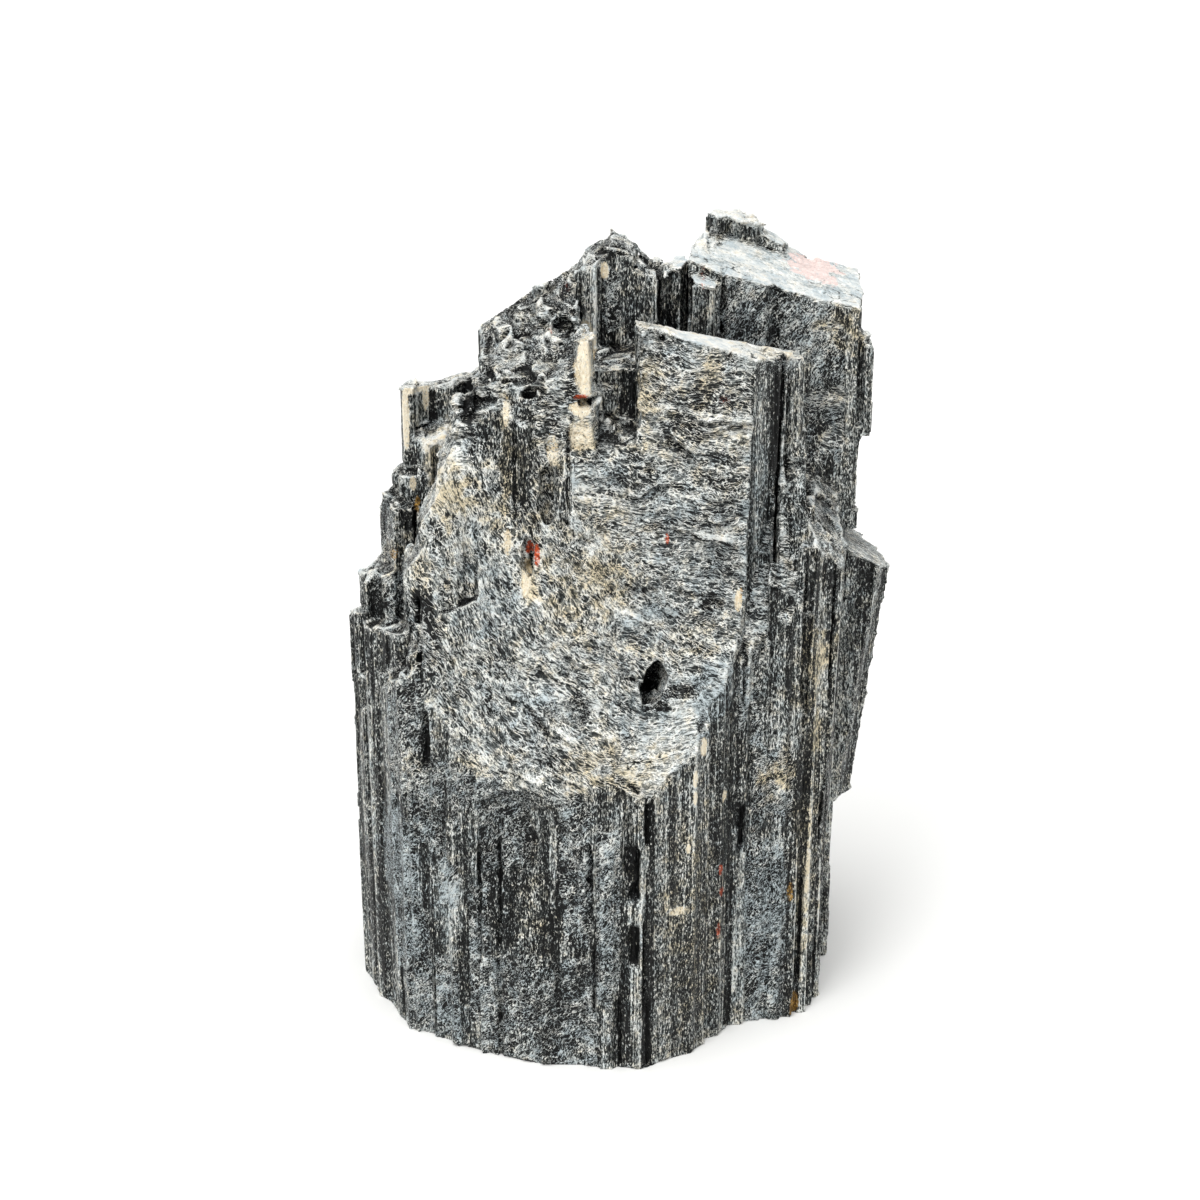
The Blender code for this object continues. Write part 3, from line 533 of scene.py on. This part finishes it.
# %% Name the sizes of the relief, in millimetres
RELIEF_SIZES = {
    "Column width": 4.2,
    "Column depth": 0.7,
    "Rib width": 1.3,
    "Rib depth": 0.36,
    "Rib tilt": 0.4,
    "Line depth": 0.4,
    "Ledge width": 4.0,
    "Ledge tilt": 0.42,
    "Splinter width": 1.2,
    "Splinter depth": 0.2,
    "Splinter tilt": 0.26,
    "Grain depth": 0.32,
    "Lump depth": 1.8,
    "Mottle depth": 0.5,
    "Crumb width": 3.6,
    "Crumb height": 1.0,
    "Crumb tilt": 0.6,
    "Crumb grain": 0.2,
    "Sunk": 0.05,
}
print("sizes of the relief:", len(RELIEF_SIZES))

# %% Start the tree
tree = bpy.data.node_groups.new("stone_relief", "GeometryNodeTree")
tree.interface.new_socket("Geometry", in_out="INPUT", socket_type="NodeSocketGeometry")
identifiers = {}
for name, value in RELIEF_SIZES.items():
    socket = tree.interface.new_socket(name, in_out="INPUT", socket_type="NodeSocketFloat")
    identifiers[name] = socket.identifier
tree.interface.new_socket("Geometry", in_out="OUTPUT", socket_type="NodeSocketGeometry")
entry = tree.nodes.new("NodeGroupInput")
size_of = {name: entry.outputs[name] for name in RELIEF_SIZES}

place = add(tree, "ShaderNodeVectorMath", {0: add(tree, "GeometryNodeInputPosition"), "Scale": 1 / MM},
            operation="SCALE")
share_of = {name: add(tree, "GeometryNodeInputNamedAttribute", {"Name": name}, data_type="FLOAT")
            for name in zones}
swirl = add(tree, "GeometryNodeInputNamedAttribute", {"Name": "swirl_place"}, data_type="FLOAT_VECTOR")
print("zones that the tree reads:", len(share_of))


# %% Ways to bend and cut a pattern
def warped(tree, place, amount, coarse):
    """The place pushed about by slow noise, so that a pattern's lines wander."""
    slow = add(tree, "ShaderNodeTexNoise", {"Vector": place, "Scale": 1 / coarse, "Detail": 2.0},
               out="Color")
    push = add(tree, "ShaderNodeVectorMath", {0: slow, 1: (0.5, 0.5, 0.5)}, operation="SUBTRACT")
    push = add(tree, "ShaderNodeVectorMath", {0: push, "Scale": amount}, operation="SCALE")
    return add(tree, "ShaderNodeVectorMath", {0: place, 1: push}, operation="ADD")


def drawn_out(tree, place, turn, stretch):
    """The place turned about Y and squeezed, so that a pattern on it is drawn out along one direction."""
    turned = add(tree, "ShaderNodeVectorRotate", {"Vector": place, "Angle": math.radians(turn)},
                 rotation_type="Y_AXIS")
    return add(tree, "ShaderNodeVectorMath", {0: turned, 1: stretch}, operation="MULTIPLY")


def splinters(tree, place, width, droop=0.0):
    """Cells with a chance tone and a chance tilt: the tone, and the height of the tilted faces. Droop leans
    every face back along the third axis, like shingles."""
    scale = add(tree, "ShaderNodeMath", {0: 1.0, 1: width}, operation="DIVIDE")
    cell = add(tree, "ShaderNodeTexVoronoi", {"Vector": place, "Scale": scale}).node
    lean = add(tree, "ShaderNodeVectorMath", {0: cell.outputs["Color"], 1: (0.5, 0.5, 0.5 + droop)},
               operation="SUBTRACT")
    away = add(tree, "ShaderNodeVectorMath", {0: place, 1: cell.outputs["Position"]}, operation="SUBTRACT")
    height = add(tree, "ShaderNodeVectorMath", {0: lean, 1: away}, out="Value", operation="DOT_PRODUCT")
    return add(tree, "ShaderNodeSeparateXYZ", {0: cell.outputs["Color"]}, out="X"), height


# %% Lay the patterns
# The place is multiplied by these three numbers before a pattern is laid on it. A prism's cells come out 40
# times longer along Z, and a splinter's 3 times longer along the grain.
ALONG_PRISM = (1, 1, 1 / 40)
ALONG_GRAIN = (1 / 3.0, 1, 1)
ALONG_CRUMB = (1, 1, 0.22)
GRAIN_SLOPE = -8

# Slow noise bends each pattern. A pair is how far it pushes a place and how coarse it is, in millimetres.
LARGE_BENDS = (6.0, 16.0)
SMALL_BENDS = (2.2, 6.0)
PRISM_BENDS = (0.7, 6.0)
CRUMB_BENDS = (1.2, 3.0)

wavy = warped(tree, warped(tree, place, *LARGE_BENDS), *SMALL_BENDS)
wavy_swirl = warped(tree, warped(tree, swirl, *LARGE_BENDS), *SMALL_BENDS)
along_z = drawn_out(tree, warped(tree, place, *PRISM_BENDS), 0, ALONG_PRISM)
along_level = drawn_out(tree, wavy, GRAIN_SLOPE, ALONG_GRAIN)
along_swirl = drawn_out(tree, wavy_swirl, 0, ALONG_GRAIN)
along_crumb = drawn_out(tree, warped(tree, place, *CRUMB_BENDS), 0, ALONG_CRUMB)

column = splinters(tree, along_z, size_of["Column width"])[0]
rib, rib_tilt = splinters(tree, along_z, size_of["Rib width"])
crumb, crumb_tilt = splinters(tree, along_crumb, size_of["Crumb width"])
level_splinter, level_tilt = splinters(tree, along_level, size_of["Splinter width"], droop=0.2)
swirl_splinter, swirl_tilt = splinters(tree, along_swirl, size_of["Splinter width"], droop=-0.2)
level_ledge = splinters(tree, along_level, size_of["Ledge width"], droop=0.5)[1]
swirl_ledge = splinters(tree, along_swirl, size_of["Ledge width"], droop=-0.5)[1]

NOISE_WIDTHS = [("line", along_z, 0.8), ("level grain", along_level, 1.1), ("swirl grain", along_swirl, 1.1),
                ("fine", place, 0.9), ("lump", place, 8.0)]
noises = {}
for name, where, width in NOISE_WIDTHS:
    noises[name] = add(tree, "ShaderNodeTexNoise",
                       {"Vector": where, "Scale": 1 / width, "Detail": 4.0, "Roughness": 0.62})
print("nodes so far:", len(tree.nodes))

# %% Add up the heights
# Each row is a pattern, its middle, the size that it is multiplied by and the zone that it is kept to.
RELIEF = [
    (column, 0.5, "Column depth", "ribbed"), (rib, 0.5, "Rib depth", "ribbed"),
    (rib_tilt, 0.0, "Rib tilt", "ribbed"), (noises["line"], 0.5, "Line depth", "side"),
    (level_splinter, 0.5, "Splinter depth", "level"), (swirl_splinter, 0.5, "Splinter depth", "swirl"),
    (level_tilt, 0.0, "Splinter tilt", "level"), (swirl_tilt, 0.0, "Splinter tilt", "swirl"),
    (level_ledge, 0.0, "Ledge tilt", "level_ledged"), (swirl_ledge, 0.0, "Ledge tilt", "swirl_ledged"),
    (noises["level grain"], 0.5, "Grain depth", "level"),
    (noises["swirl grain"], 0.5, "Grain depth", "swirl"),
    (noises["lump"], 0.5, "Lump depth", "level"), (noises["lump"], 0.5, "Lump depth", "swirl"),
    (noises["fine"], 0.5, "Crumb grain", "inner_crumb"), (crumb_tilt, 0.0, "Crumb tilt", "inner_crumb"),
    (noises["fine"], 0.5, "Mottle depth", "mottled"),
]


def kept_to(pattern, middle, depth, share):
    """A pattern about its middle, times a size, in one zone only."""
    centred = add(tree, "ShaderNodeMath", {0: pattern, 1: middle}, operation="SUBTRACT")
    deep = add(tree, "ShaderNodeMath", {0: centred, 1: size_of[depth]}, operation="MULTIPLY")
    return add(tree, "ShaderNodeMath", {0: deep, 1: share_of[share]}, operation="MULTIPLY")


outward = kept_to(*RELIEF[0])
for row in RELIEF[1:]:
    outward = add(tree, "ShaderNodeMath", {0: outward, 1: kept_to(*row)}, operation="ADD")
outward = add(tree, "ShaderNodeMath", {0: outward, 1: share_of["slit"]}, operation="SUBTRACT")
outward = add(tree, "ShaderNodeMath", {0: outward, 1: size_of["Sunk"]}, operation="SUBTRACT")
upward = kept_to(crumb, 0.5, "Crumb height", "inner_crumb")
print("patterns in the relief:", len(RELIEF) + 2)

# %% Move the points
push = add(tree, "ShaderNodeVectorMath", {0: add(tree, "GeometryNodeInputNormal"), "Scale": outward},
           operation="SCALE")
lift = add(tree, "ShaderNodeCombineXYZ", {"Z": upward})
move = add(tree, "ShaderNodeVectorMath", {0: push, 1: lift}, operation="ADD")
move = add(tree, "ShaderNodeVectorMath", {0: move, "Scale": share_of["foot"]}, operation="SCALE")
move = add(tree, "ShaderNodeVectorMath", {0: move, "Scale": MM}, operation="SCALE")
shaped = add(tree, "GeometryNodeSetPosition", {"Geometry": entry.outputs["Geometry"], "Offset": move})
print("nodes so far:", len(tree.nodes))

# %% Measure edges and hollows
# A point that stands out from the average of its surroundings is on an edge, and one that lies behind it is
# in a hollow. The averages are taken over about 1 mm and over about 4 mm. The material paints edges paler
# and
# hollows darker from these: painted highlights and painted shade.
EDGE_ROUNDS = 12
HOLLOW_ROUNDS = 180


def stands_out(rounds, facing_way):
    """How far a point stands out from its surroundings, in millimetres."""
    here = add(tree, "GeometryNodeInputPosition")
    around = add(tree, "GeometryNodeBlurAttribute", {"Value": here, "Iterations": rounds},
                 data_type="FLOAT_VECTOR")
    away = add(tree, "ShaderNodeVectorMath", {0: here, 1: around}, operation="SUBTRACT")
    stands = add(tree, "ShaderNodeVectorMath", {0: away, 1: facing_way}, out="Value",
                 operation="DOT_PRODUCT")
    return add(tree, "ShaderNodeMath", {0: stands, 1: 1 / MM}, operation="MULTIPLY")


normal = add(tree, "GeometryNodeInputNormal")
calm_normal = add(tree, "GeometryNodeBlurAttribute", {"Value": normal, "Iterations": HOLLOW_ROUNDS // 4},
                  data_type="FLOAT_VECTOR")
for name, rounds, facing_way in (("edge", EDGE_ROUNDS, normal), ("hollow", HOLLOW_ROUNDS, calm_normal)):
    shaped = add(tree, "GeometryNodeStoreNamedAttribute",
                 {"Geometry": shaped, "Name": name, "Value": stands_out(rounds, facing_way)},
                 data_type="FLOAT", domain="POINT")
print("nodes so far:", len(tree.nodes))

# %% Make the plain mesh
shaped = add(tree, "GeometryNodeRealizeInstances", {"Geometry": shaped})
schorl = bpy.data.materials.new("schorl_black_tourmaline")
shaped = add(tree, "GeometryNodeSetMaterial", {"Geometry": shaped, "Material": schorl})
add(tree, "NodeGroupOutput", {"Geometry": shaped}, out=slice(0))

stone = linked("stone", dense)
relief = stone.modifiers.new("relief", "NODES")
relief.node_group = tree
for name, value in RELIEF_SIZES.items():
    relief[identifiers[name]] = value
stone_mesh = as_plain_mesh(stone, "stone")
print("stone:", len(stone_mesh.vertices), "points, attributes:", len(stone_mesh.attributes))

# %% [markdown]
# ## Pieces
# One mesh this dense is heavy to handle, so it is cut into stacked pieces. They share the points of their
# edges, so no seam opens.

# %% Cut the mesh into pieces
TRIANGLES_EACH = 180000
centres = np.empty(len(stone_mesh.polygons) * 3, np.float32)
stone_mesh.polygons.foreach_get("center", centres)
levels = centres.reshape(-1, 3)[:, 2]
corners = np.empty(len(stone_mesh.polygons), np.int32)
stone_mesh.polygons.foreach_get("loop_total", corners)
shares = math.ceil((corners - 2).sum() / TRIANGLES_EACH)
cuts = np.quantile(levels, np.linspace(0, 1, shares + 1))
cuts[-1] += 1
pieces = []
for number, (low, high) in enumerate(zip(cuts, cuts[1:]), 1):
    shape = bmesh.new()
    shape.from_mesh(stone_mesh)
    shape.faces.ensure_lookup_table()
    outside = [shape.faces[i] for i in np.flatnonzero((levels < low) | (levels >= high))]
    bmesh.ops.delete(shape, geom=outside, context="FACES")
    mesh = bpy.data.meshes.new(f"tourmaline_{number}")
    shape.to_mesh(mesh)
    shape.free()
    mesh.materials.append(schorl)
    mesh.shade_smooth()
    pieces.append(linked(f"tourmaline_{number}", mesh))
    print(mesh.name, len(mesh.polygons), "faces from", round(low / MM), "mm up")

# %% Join the pieces to the frame
for piece in pieces:
    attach(piece, "root")
    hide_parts("tourmaline_crystal")
print("pieces:", len(pieces))

# %% [markdown]
# ## Schorl
# Black tourmaline is glassy, with an index of refraction of about 1.63. Its own colour is nearly black, but
# every splinter and rib edge that faces the light glints as a pale grey fleck. The material paints these
# glints into the colour as pale flecks and threads, so they are painted highlights. The breaks are palest,
# because they are all splinters, and the flat prism faces are darkest. The material adds up how light each
# point is, and then turns that into a grey.

# %% Read the zones in the shader
schorl.use_nodes = True
shade = schorl.node_tree
shade.nodes.clear()
where = add(shade, "ShaderNodeTexCoord", out="Object")
where = add(shade, "ShaderNodeVectorMath", {0: where, "Scale": 1 / MM}, operation="SCALE")
part = {name: add(shade, "ShaderNodeAttribute", attribute_name=name, out="Fac")
        for name in (*zones, "edge", "hollow")}
swirl = add(shade, "ShaderNodeAttribute", attribute_name="swirl_place", out="Vector")
print("zones in the shader:", len(part))

# %% Places for the patterns
# One place is squeezed a little along the grain: it carries threads and specks. One is squeezed much more,
# for long fibres. One carries splinters. Each zone that has more than half of a point takes all three over
# from the sides. A stretch says how many times longer than wide a mark is.
SIDE_STRETCHES = ((1, 1, 2.6), (1, 1, 30), (1, 1, 45))
THREAD_BENDS = (1.2, 2.5)
GRAIN = {
    "level": (drawn_out(shade, where, GRAIN_SLOPE, (1, 1, 1)), (3.2, 1, 1), (12, 1, 1), (4.5, 1, 1)),
    "swirl": (swirl, (3.2, 1, 1), (12, 1, 1), (4.5, 1, 1)),
    "crumb": (where, (1, 1, 1), (2, 2, 1), (1, 1, 1)),
    "smooth": (where, (2.5, 1, 1), (12, 1.5, 1), (6, 1.2, 1)),
    "mottled": (drawn_out(shade, where, 50, (1, 1, 1)), (1.8, 1, 1), (4, 1, 1), (2.4, 1, 1)),
}
bend = warped(shade, warped(shade, where, *LARGE_BENDS), *THREAD_BENDS)
bend = add(shade, "ShaderNodeVectorMath", {0: bend, 1: where}, operation="SUBTRACT")
laid = []
for number, stretch in enumerate(SIDE_STRETCHES):
    place = add(shade, "ShaderNodeVectorMath", {0: where, 1: stretch}, operation="DIVIDE")
    for zone, (base, *stretches) in GRAIN.items():
        taken = add(shade, "ShaderNodeMath", {0: part[zone], 1: 0.5}, operation="GREATER_THAN")
        bent = add(shade, "ShaderNodeVectorMath", {0: base, 1: bend}, operation="ADD")
        zone_place = add(shade, "ShaderNodeVectorMath", {0: bent, 1: stretches[number]}, operation="DIVIDE")
        place = add(shade, "ShaderNodeMix", {"Factor": taken, "A": place, "B": zone_place}, out="Result",
                    data_type="VECTOR")
    laid.append(place)
short, long, cut = laid
print("zones with a grain of their own:", list(GRAIN))

# %% [markdown]
# ## Threads, splinters and grain
# The breaks look silky because they are made of splinters a few tenths of a millimetre thick. That is finer
# than the mesh. Images could show them, but they would stretch on such a broken surface. Patterns that fill
# space don't, so lines, cells and noise are laid on the three places, and give both tone and bump.

# %% Threads
# Splinter edges glint as thin pale threads, and these are painted highlights in the colour. The finest are
# the level lines of a noise, which wander and never cross. The wider ones are the borders of cells, and so
# are the dark cracks, which are painted shade. They are bent by noise, and fade in and out. All widths are
# millimetres. Real threads can be thinner than a pixel. These are drawn about as wide as one, so that they
# show.

# The bends and the fading of a net grow with its cells.
NET_BENDS = (0.9, 0.8)
FADE_FINENESS = 0.6
FADE_CONTRAST = 4.0


def net(base, width, seed, thick, faded):
    """Thin lines of one thickness round cells, both in millimetres: 1 on a line and 0 beside it."""
    moved = add(shade, "ShaderNodeVectorMath", {0: base, 1: (seed, seed, seed)}, operation="ADD")
    bent = warped(shade, moved, NET_BENDS[0] * width, NET_BENDS[1] * width)
    cells = add(shade, "ShaderNodeTexVoronoi", {"Vector": bent, "Scale": 1 / width},
                feature="DISTANCE_TO_EDGE")
    line = add(shade, "ShaderNodeMath", {0: cells, 1: -width / thick, 2: 1.0}, operation="MULTIPLY_ADD",
               use_clamp=True)
    fade = add(shade, "ShaderNodeTexNoise", {"Vector": moved, "Scale": FADE_FINENESS / width, "Detail": 1.0})
    fade = add(shade, "ShaderNodeMath", {0: fade, 1: FADE_CONTRAST, 2: -FADE_CONTRAST * faded},
               operation="MULTIPLY_ADD", use_clamp=True)
    return add(shade, "ShaderNodeMath", {0: line, 1: fade}, operation="MULTIPLY")


def level_lines(base, width, thick):
    """Thin wandering lines where noise is near its middle: 1 on a line and 0 beside it."""
    slow = add(shade, "ShaderNodeTexNoise",
               {"Vector": base, "Scale": 1 / width, "Detail": 3.0, "Roughness": 0.6})
    away = add(shade, "ShaderNodeMath", {0: slow, 1: 0.5}, operation="SUBTRACT")
    away = add(shade, "ShaderNodeMath", {0: away}, operation="ABSOLUTE")
    return add(shade, "ShaderNodeMath", {0: away, 1: -width / thick, 2: 1.0}, operation="MULTIPLY_ADD",
               use_clamp=True)


fine_threads = level_lines(short, width=0.72, thick=0.026)
mid_threads = net(short, width=1.1, seed=5.2, thick=0.09, faded=0.4)
cracks = net(short, width=2.6, seed=3.1, thick=0.12, faded=0.5)
long_threads = net(long, width=0.8, seed=2.3, thick=0.08, faded=0.4)
print("nodes in the material so far:", len(shade.nodes))

# %% Splinters
small_tone, small_tilt = splinters(shade, cut, width=0.7)
large_tone, large_tilt = splinters(shade, cut, width=2.0)
print("nodes in the material so far:", len(shade.nodes))

# %% Grain and patches
# Each row is a name, where it is laid, its width in millimetres, its detail and its roughness.
NOISES = [("speck", short, 0.26, 1.0, 0.6), ("fibre", long, 0.5, 2.0, 0.65), ("patch", where, 4.5, 2.0, 0.6),
          ("speckle", where, 0.4, 2.0, 0.7), ("hue", where, 2.4, 4.0, 0.7)]
grain = {}
for name, base, width, detail, roughness in NOISES:
    grain[name] = add(shade, "ShaderNodeTexNoise",
                      {"Vector": base, "Scale": 1 / width, "Detail": detail, "Roughness": roughness})
speck, fibre, patch = grain["speck"], grain["fibre"], grain["patch"]

# The flecks are only the brightest specks. On the sides they are painted glints: painted highlights.
FLECK_CONTRAST = 7.0
FLECK_SHIFT = -4.2
fleck = add(shade, "ShaderNodeMath", {0: speck, 1: FLECK_CONTRAST, 2: FLECK_SHIFT},
            operation="MULTIPLY_ADD", use_clamp=True)
print("noises:", list(grain))

# %% Bump
# Each row is a pattern and its height in millimetres.
HEIGHTS = [(small_tilt, 0.25), (large_tilt, 0.25), (mid_threads, 0.1), (fine_threads, 0.06), (fibre, 0.2),
           (speck, 0.1)]
height = 0.0
for value, gain in HEIGHTS:
    height = add(shade, "ShaderNodeMath", {0: value, 1: gain, 2: height}, operation="MULTIPLY_ADD")
bump = add(shade, "ShaderNodeBump", {"Height": height, "Strength": 1.0, "Distance": MM}, out="Normal")
# How much the bumped surface faces up. The tone uses it to paint faces that turn up paler: painted light
# from above.
upright = add(shade, "ShaderNodeVectorMath", {0: bump, 1: (0, 0, 1)}, out="Value", operation="DOT_PRODUCT")
print("patterns in the bump:", len(HEIGHTS))

# %% How light each zone is
BASE_TONES = [("side", 0.31), ("mottled", 0.04), ("level", 0.555), ("swirl", 0.565), ("crumb", 0.33),
              ("smooth", 0.50), ("feldspar", 0.5)]
light = 0.0
for zone, tone_here in BASE_TONES:
    light = add(shade, "ShaderNodeMath", {0: part[zone], 1: tone_here, 2: light}, operation="MULTIPLY_ADD")
print("zones with a tone of their own:", len(BASE_TONES))

# %% What makes a point lighter or darker
# Each row is a pattern, how much it counts and its middle. The first list counts everywhere, and each other
# list counts on top of it in its own zone.
LIGHT = {
    "everywhere": [
        (fine_threads, 1.2, 0.12), (mid_threads, 0.7, 0.15), (long_threads, 0.6, 0.15),
        (cracks, -0.85, 0.08), (small_tone, 0.1, 0.5), (large_tone, 0.12, 0.5), (speck, 1.2, 0.5),
        # The upright row paints faces that turn up paler: painted light from above. The edge row paints
        # edges paler: painted highlights.
        (fibre, 0.35, 0.5), (patch, 0.5, 0.5), (upright, 0.25, 0.0), (part["edge"], 0.4, 0.0),
        # The hollow row paints hollows darker and ridges paler: painted shade and painted light. The slit
        # row paints shade into the sunk slits.
        (part["hollow"], 0.16, 0.0), (part["tone"], 1.0, 0.0), (part["slit"], -0.35, 0.0),
        # The black row paints shadow into hollows and gaps.
        (part["black"], -1.0, 0.0),
    ],
    "side": [
        (fine_threads, -0.6, 0.12), (mid_threads, -0.3, 0.15), (large_tone, 0.38, 0.5), (speck, 0.35, 0.5),
        (fleck, 0.5, 0.1), (part["edge"], -0.2, 0.0),
    ],
    "mottled": [(fine_threads, 0.5, 0.12), (mid_threads, 0.2, 0.15)],
    "level": [(patch, 0.3, 0.5)],
    "swirl": [(patch, 0.3, 0.5)],
    "crumb": [
        # On the crumbs, the upright, edge and hollow rows paint faces that turn up, edges and ridges paler
        # and hollows darker: painted light and painted shade. The cracks are painted shade.
        (cracks, -0.4, 0.08), (large_tone, 0.3, 0.5), (speck, -0.35, 0.5), (upright, 0.6, 0.75),
        (part["edge"], 1.0, 0.0), (part["hollow"], 0.3, 0.0),
    ],
    "smooth": [(fine_threads, -0.3, 0.12), (cracks, -0.4, 0.08), (speck, -0.2, 0.5)],
}
for zone, rows in LIGHT.items():
    for value, gain, middle in rows:
        extra = add(shade, "ShaderNodeMath", {0: value, 1: gain, 2: -gain * middle},
                    operation="MULTIPLY_ADD")
        share = part.get(zone, 1.0)
        light = add(shade, "ShaderNodeMath", {0: extra, 1: share, 2: light}, operation="MULTIPLY_ADD")
print("patterns in the tone:", sum(len(rows) for rows in LIGHT.values()))

# %% From light to grey
GREYS = [(0.0, "#020303"), (0.2, "#1a1d1e"), (0.4, "#4c504f"), (0.6, "#8e918d"), (0.8, "#cfd0c9"),
         (1.0, "#fbfbf5")]
greys = add(shade, "ShaderNodeValToRGB", {"Fac": light})
steps = greys.node.color_ramp.elements
while len(steps) < len(GREYS):
    steps.new(0.5)
for step, (position, code) in zip(steps, GREYS):
    step.position = position
    step.color = colour(code)
print("greys:", [code for _, code in GREYS])

# %% [markdown]
# ## Dust and stains
# A film of dust, a little iron rust and small slivers of feldspar colour the black stone. None of them
# stands out enough to need a shape of its own, so they are only colour. The zones say where, and noise
# breaks their borders up into grains.

# %% Dust
# A thin film of dust makes some places warmer and others cooler. Noise breaks the places up.
TINTS = [(1.0, "#f4e6cc"), (-1.0, "#ced9e2")]
HUE_CONTRAST = 4.5
HUE_SHIFT = -2.4

base = greys
tinted = add(shade, "ShaderNodeMath", {0: grain["hue"], 1: HUE_CONTRAST, 2: HUE_SHIFT},
             operation="MULTIPLY_ADD")
tinted = add(shade, "ShaderNodeMath", {0: tinted, 1: part["warm"]}, operation="ADD")
for gain, code in TINTS:
    amount = add(shade, "ShaderNodeMath", {0: tinted, 1: gain}, operation="MULTIPLY", use_clamp=True)
    base = add(shade, "ShaderNodeMix", {"Factor": amount, "A": base, "B": colour(code)}, out="Result",
               data_type="RGBA", blend_type="MULTIPLY")
print("tints:", [code for _, code in TINTS])

# %% Stains and feldspar
# Each row is a zone, its colour where the point is light and its colour where it is dark. Fine noise breaks
# the zone's border into grains.
STAINS = [("feldspar", "#fdf3dc", "#d3be97"), ("rust", "#d8592e", "#4a1c10"),
          ("gold", "#e3b35c", "#5b421c"), ("pink", "#f6e1db", "#a38a84")]
SPECKLE_CONTRAST = 3.0
SPECKLE_SHIFT = -0.5
BORDER_CONTRAST = 2.5
BORDER_SHIFT = -0.9

for name, bright, dull in STAINS:
    stained = add(shade, "ShaderNodeMix", {"Factor": light, "A": colour(dull), "B": colour(bright)},
                  out="Result", data_type="RGBA")
    ragged = add(shade, "ShaderNodeMath", {0: grain["speckle"], 1: SPECKLE_CONTRAST, 2: SPECKLE_SHIFT},
                 operation="MULTIPLY_ADD")
    amount = add(shade, "ShaderNodeMath", {0: part[name], 1: ragged}, operation="MULTIPLY")
    amount = add(shade, "ShaderNodeMath", {0: amount, 1: BORDER_CONTRAST, 2: BORDER_SHIFT},
                 operation="MULTIPLY_ADD", use_clamp=True)
    base = add(shade, "ShaderNodeMix", {"Factor": amount, "A": base, "B": stained}, out="Result",
               data_type="RGBA")
print("stains:", [name for name, *_ in STAINS])

# %% Gloss
# The index of refraction is schorl's own. The surface is dusty and rough on a small scale, so its highlights
# are weak and wide.
shader = add(shade, "ShaderNodeBsdfPrincipled", {"Base Color": base, "Normal": bump, "Roughness": 0.38,
                                                 "IOR": 1.63, "Specular IOR Level": 0.15})
add(shade, "ShaderNodeOutputMaterial", {"Surface": shader}, out=slice(0))
print("nodes in the material:", len(shade.nodes))

# %% [markdown]
# ## Floor and light
# The photograph shows the stone on pure white, lit softly from all round with a stronger light from above.
# A wide matt floor, a white sky and two lamps with soft edges give the same.

# %% Floor
FLOOR_HALF_WIDTH = 12.0
floor_shape = bmesh.new()
bmesh.ops.create_grid(floor_shape, x_segments=1, y_segments=1, size=FLOOR_HALF_WIDTH)
floor_mesh = bpy.data.meshes.new("floor")
floor_shape.to_mesh(floor_mesh)
floor_shape.free()
floor = linked("floor", floor_mesh)
paint = bpy.data.materials.new("matt_white_paint")
paint.use_nodes = True
matt = paint.node_tree.nodes["Principled BSDF"].inputs
matt["Base Color"].default_value = colour("#f4f4f2")
matt["Roughness"].default_value = 0.9
floor_mesh.materials.append(paint)
print("floor:", 2 * FLOOR_HALF_WIDTH, "m wide")

# %% Sky and lamps
sky = bpy.data.worlds.new("studio")
bpy.context.scene.world = sky
sky.use_nodes = True
background = sky.node_tree.nodes["Background"].inputs
background["Color"].default_value = (1, 1, 1, 1)
background["Strength"].default_value = 0.5
bpy.context.scene.view_settings.view_transform = "Standard"

# Each row is a lamp, how far it is tipped from overhead and then turned, its power, and how wide it looks.
# Angles are degrees.
LAMPS = [("overhead", (10, -20), 2.2, 40), ("front", (50, -35), 0.9, 25)]
for name, (tip, swing), power, width in LAMPS:
    lamp = linked(name, bpy.data.lights.new(name, "SUN"))
    lamp.data.energy = power
    lamp.data.angle = math.radians(width)
    lamp.rotation_euler = (math.radians(tip), 0, math.radians(swing))
print("lamps:", [name for name, *_ in LAMPS])
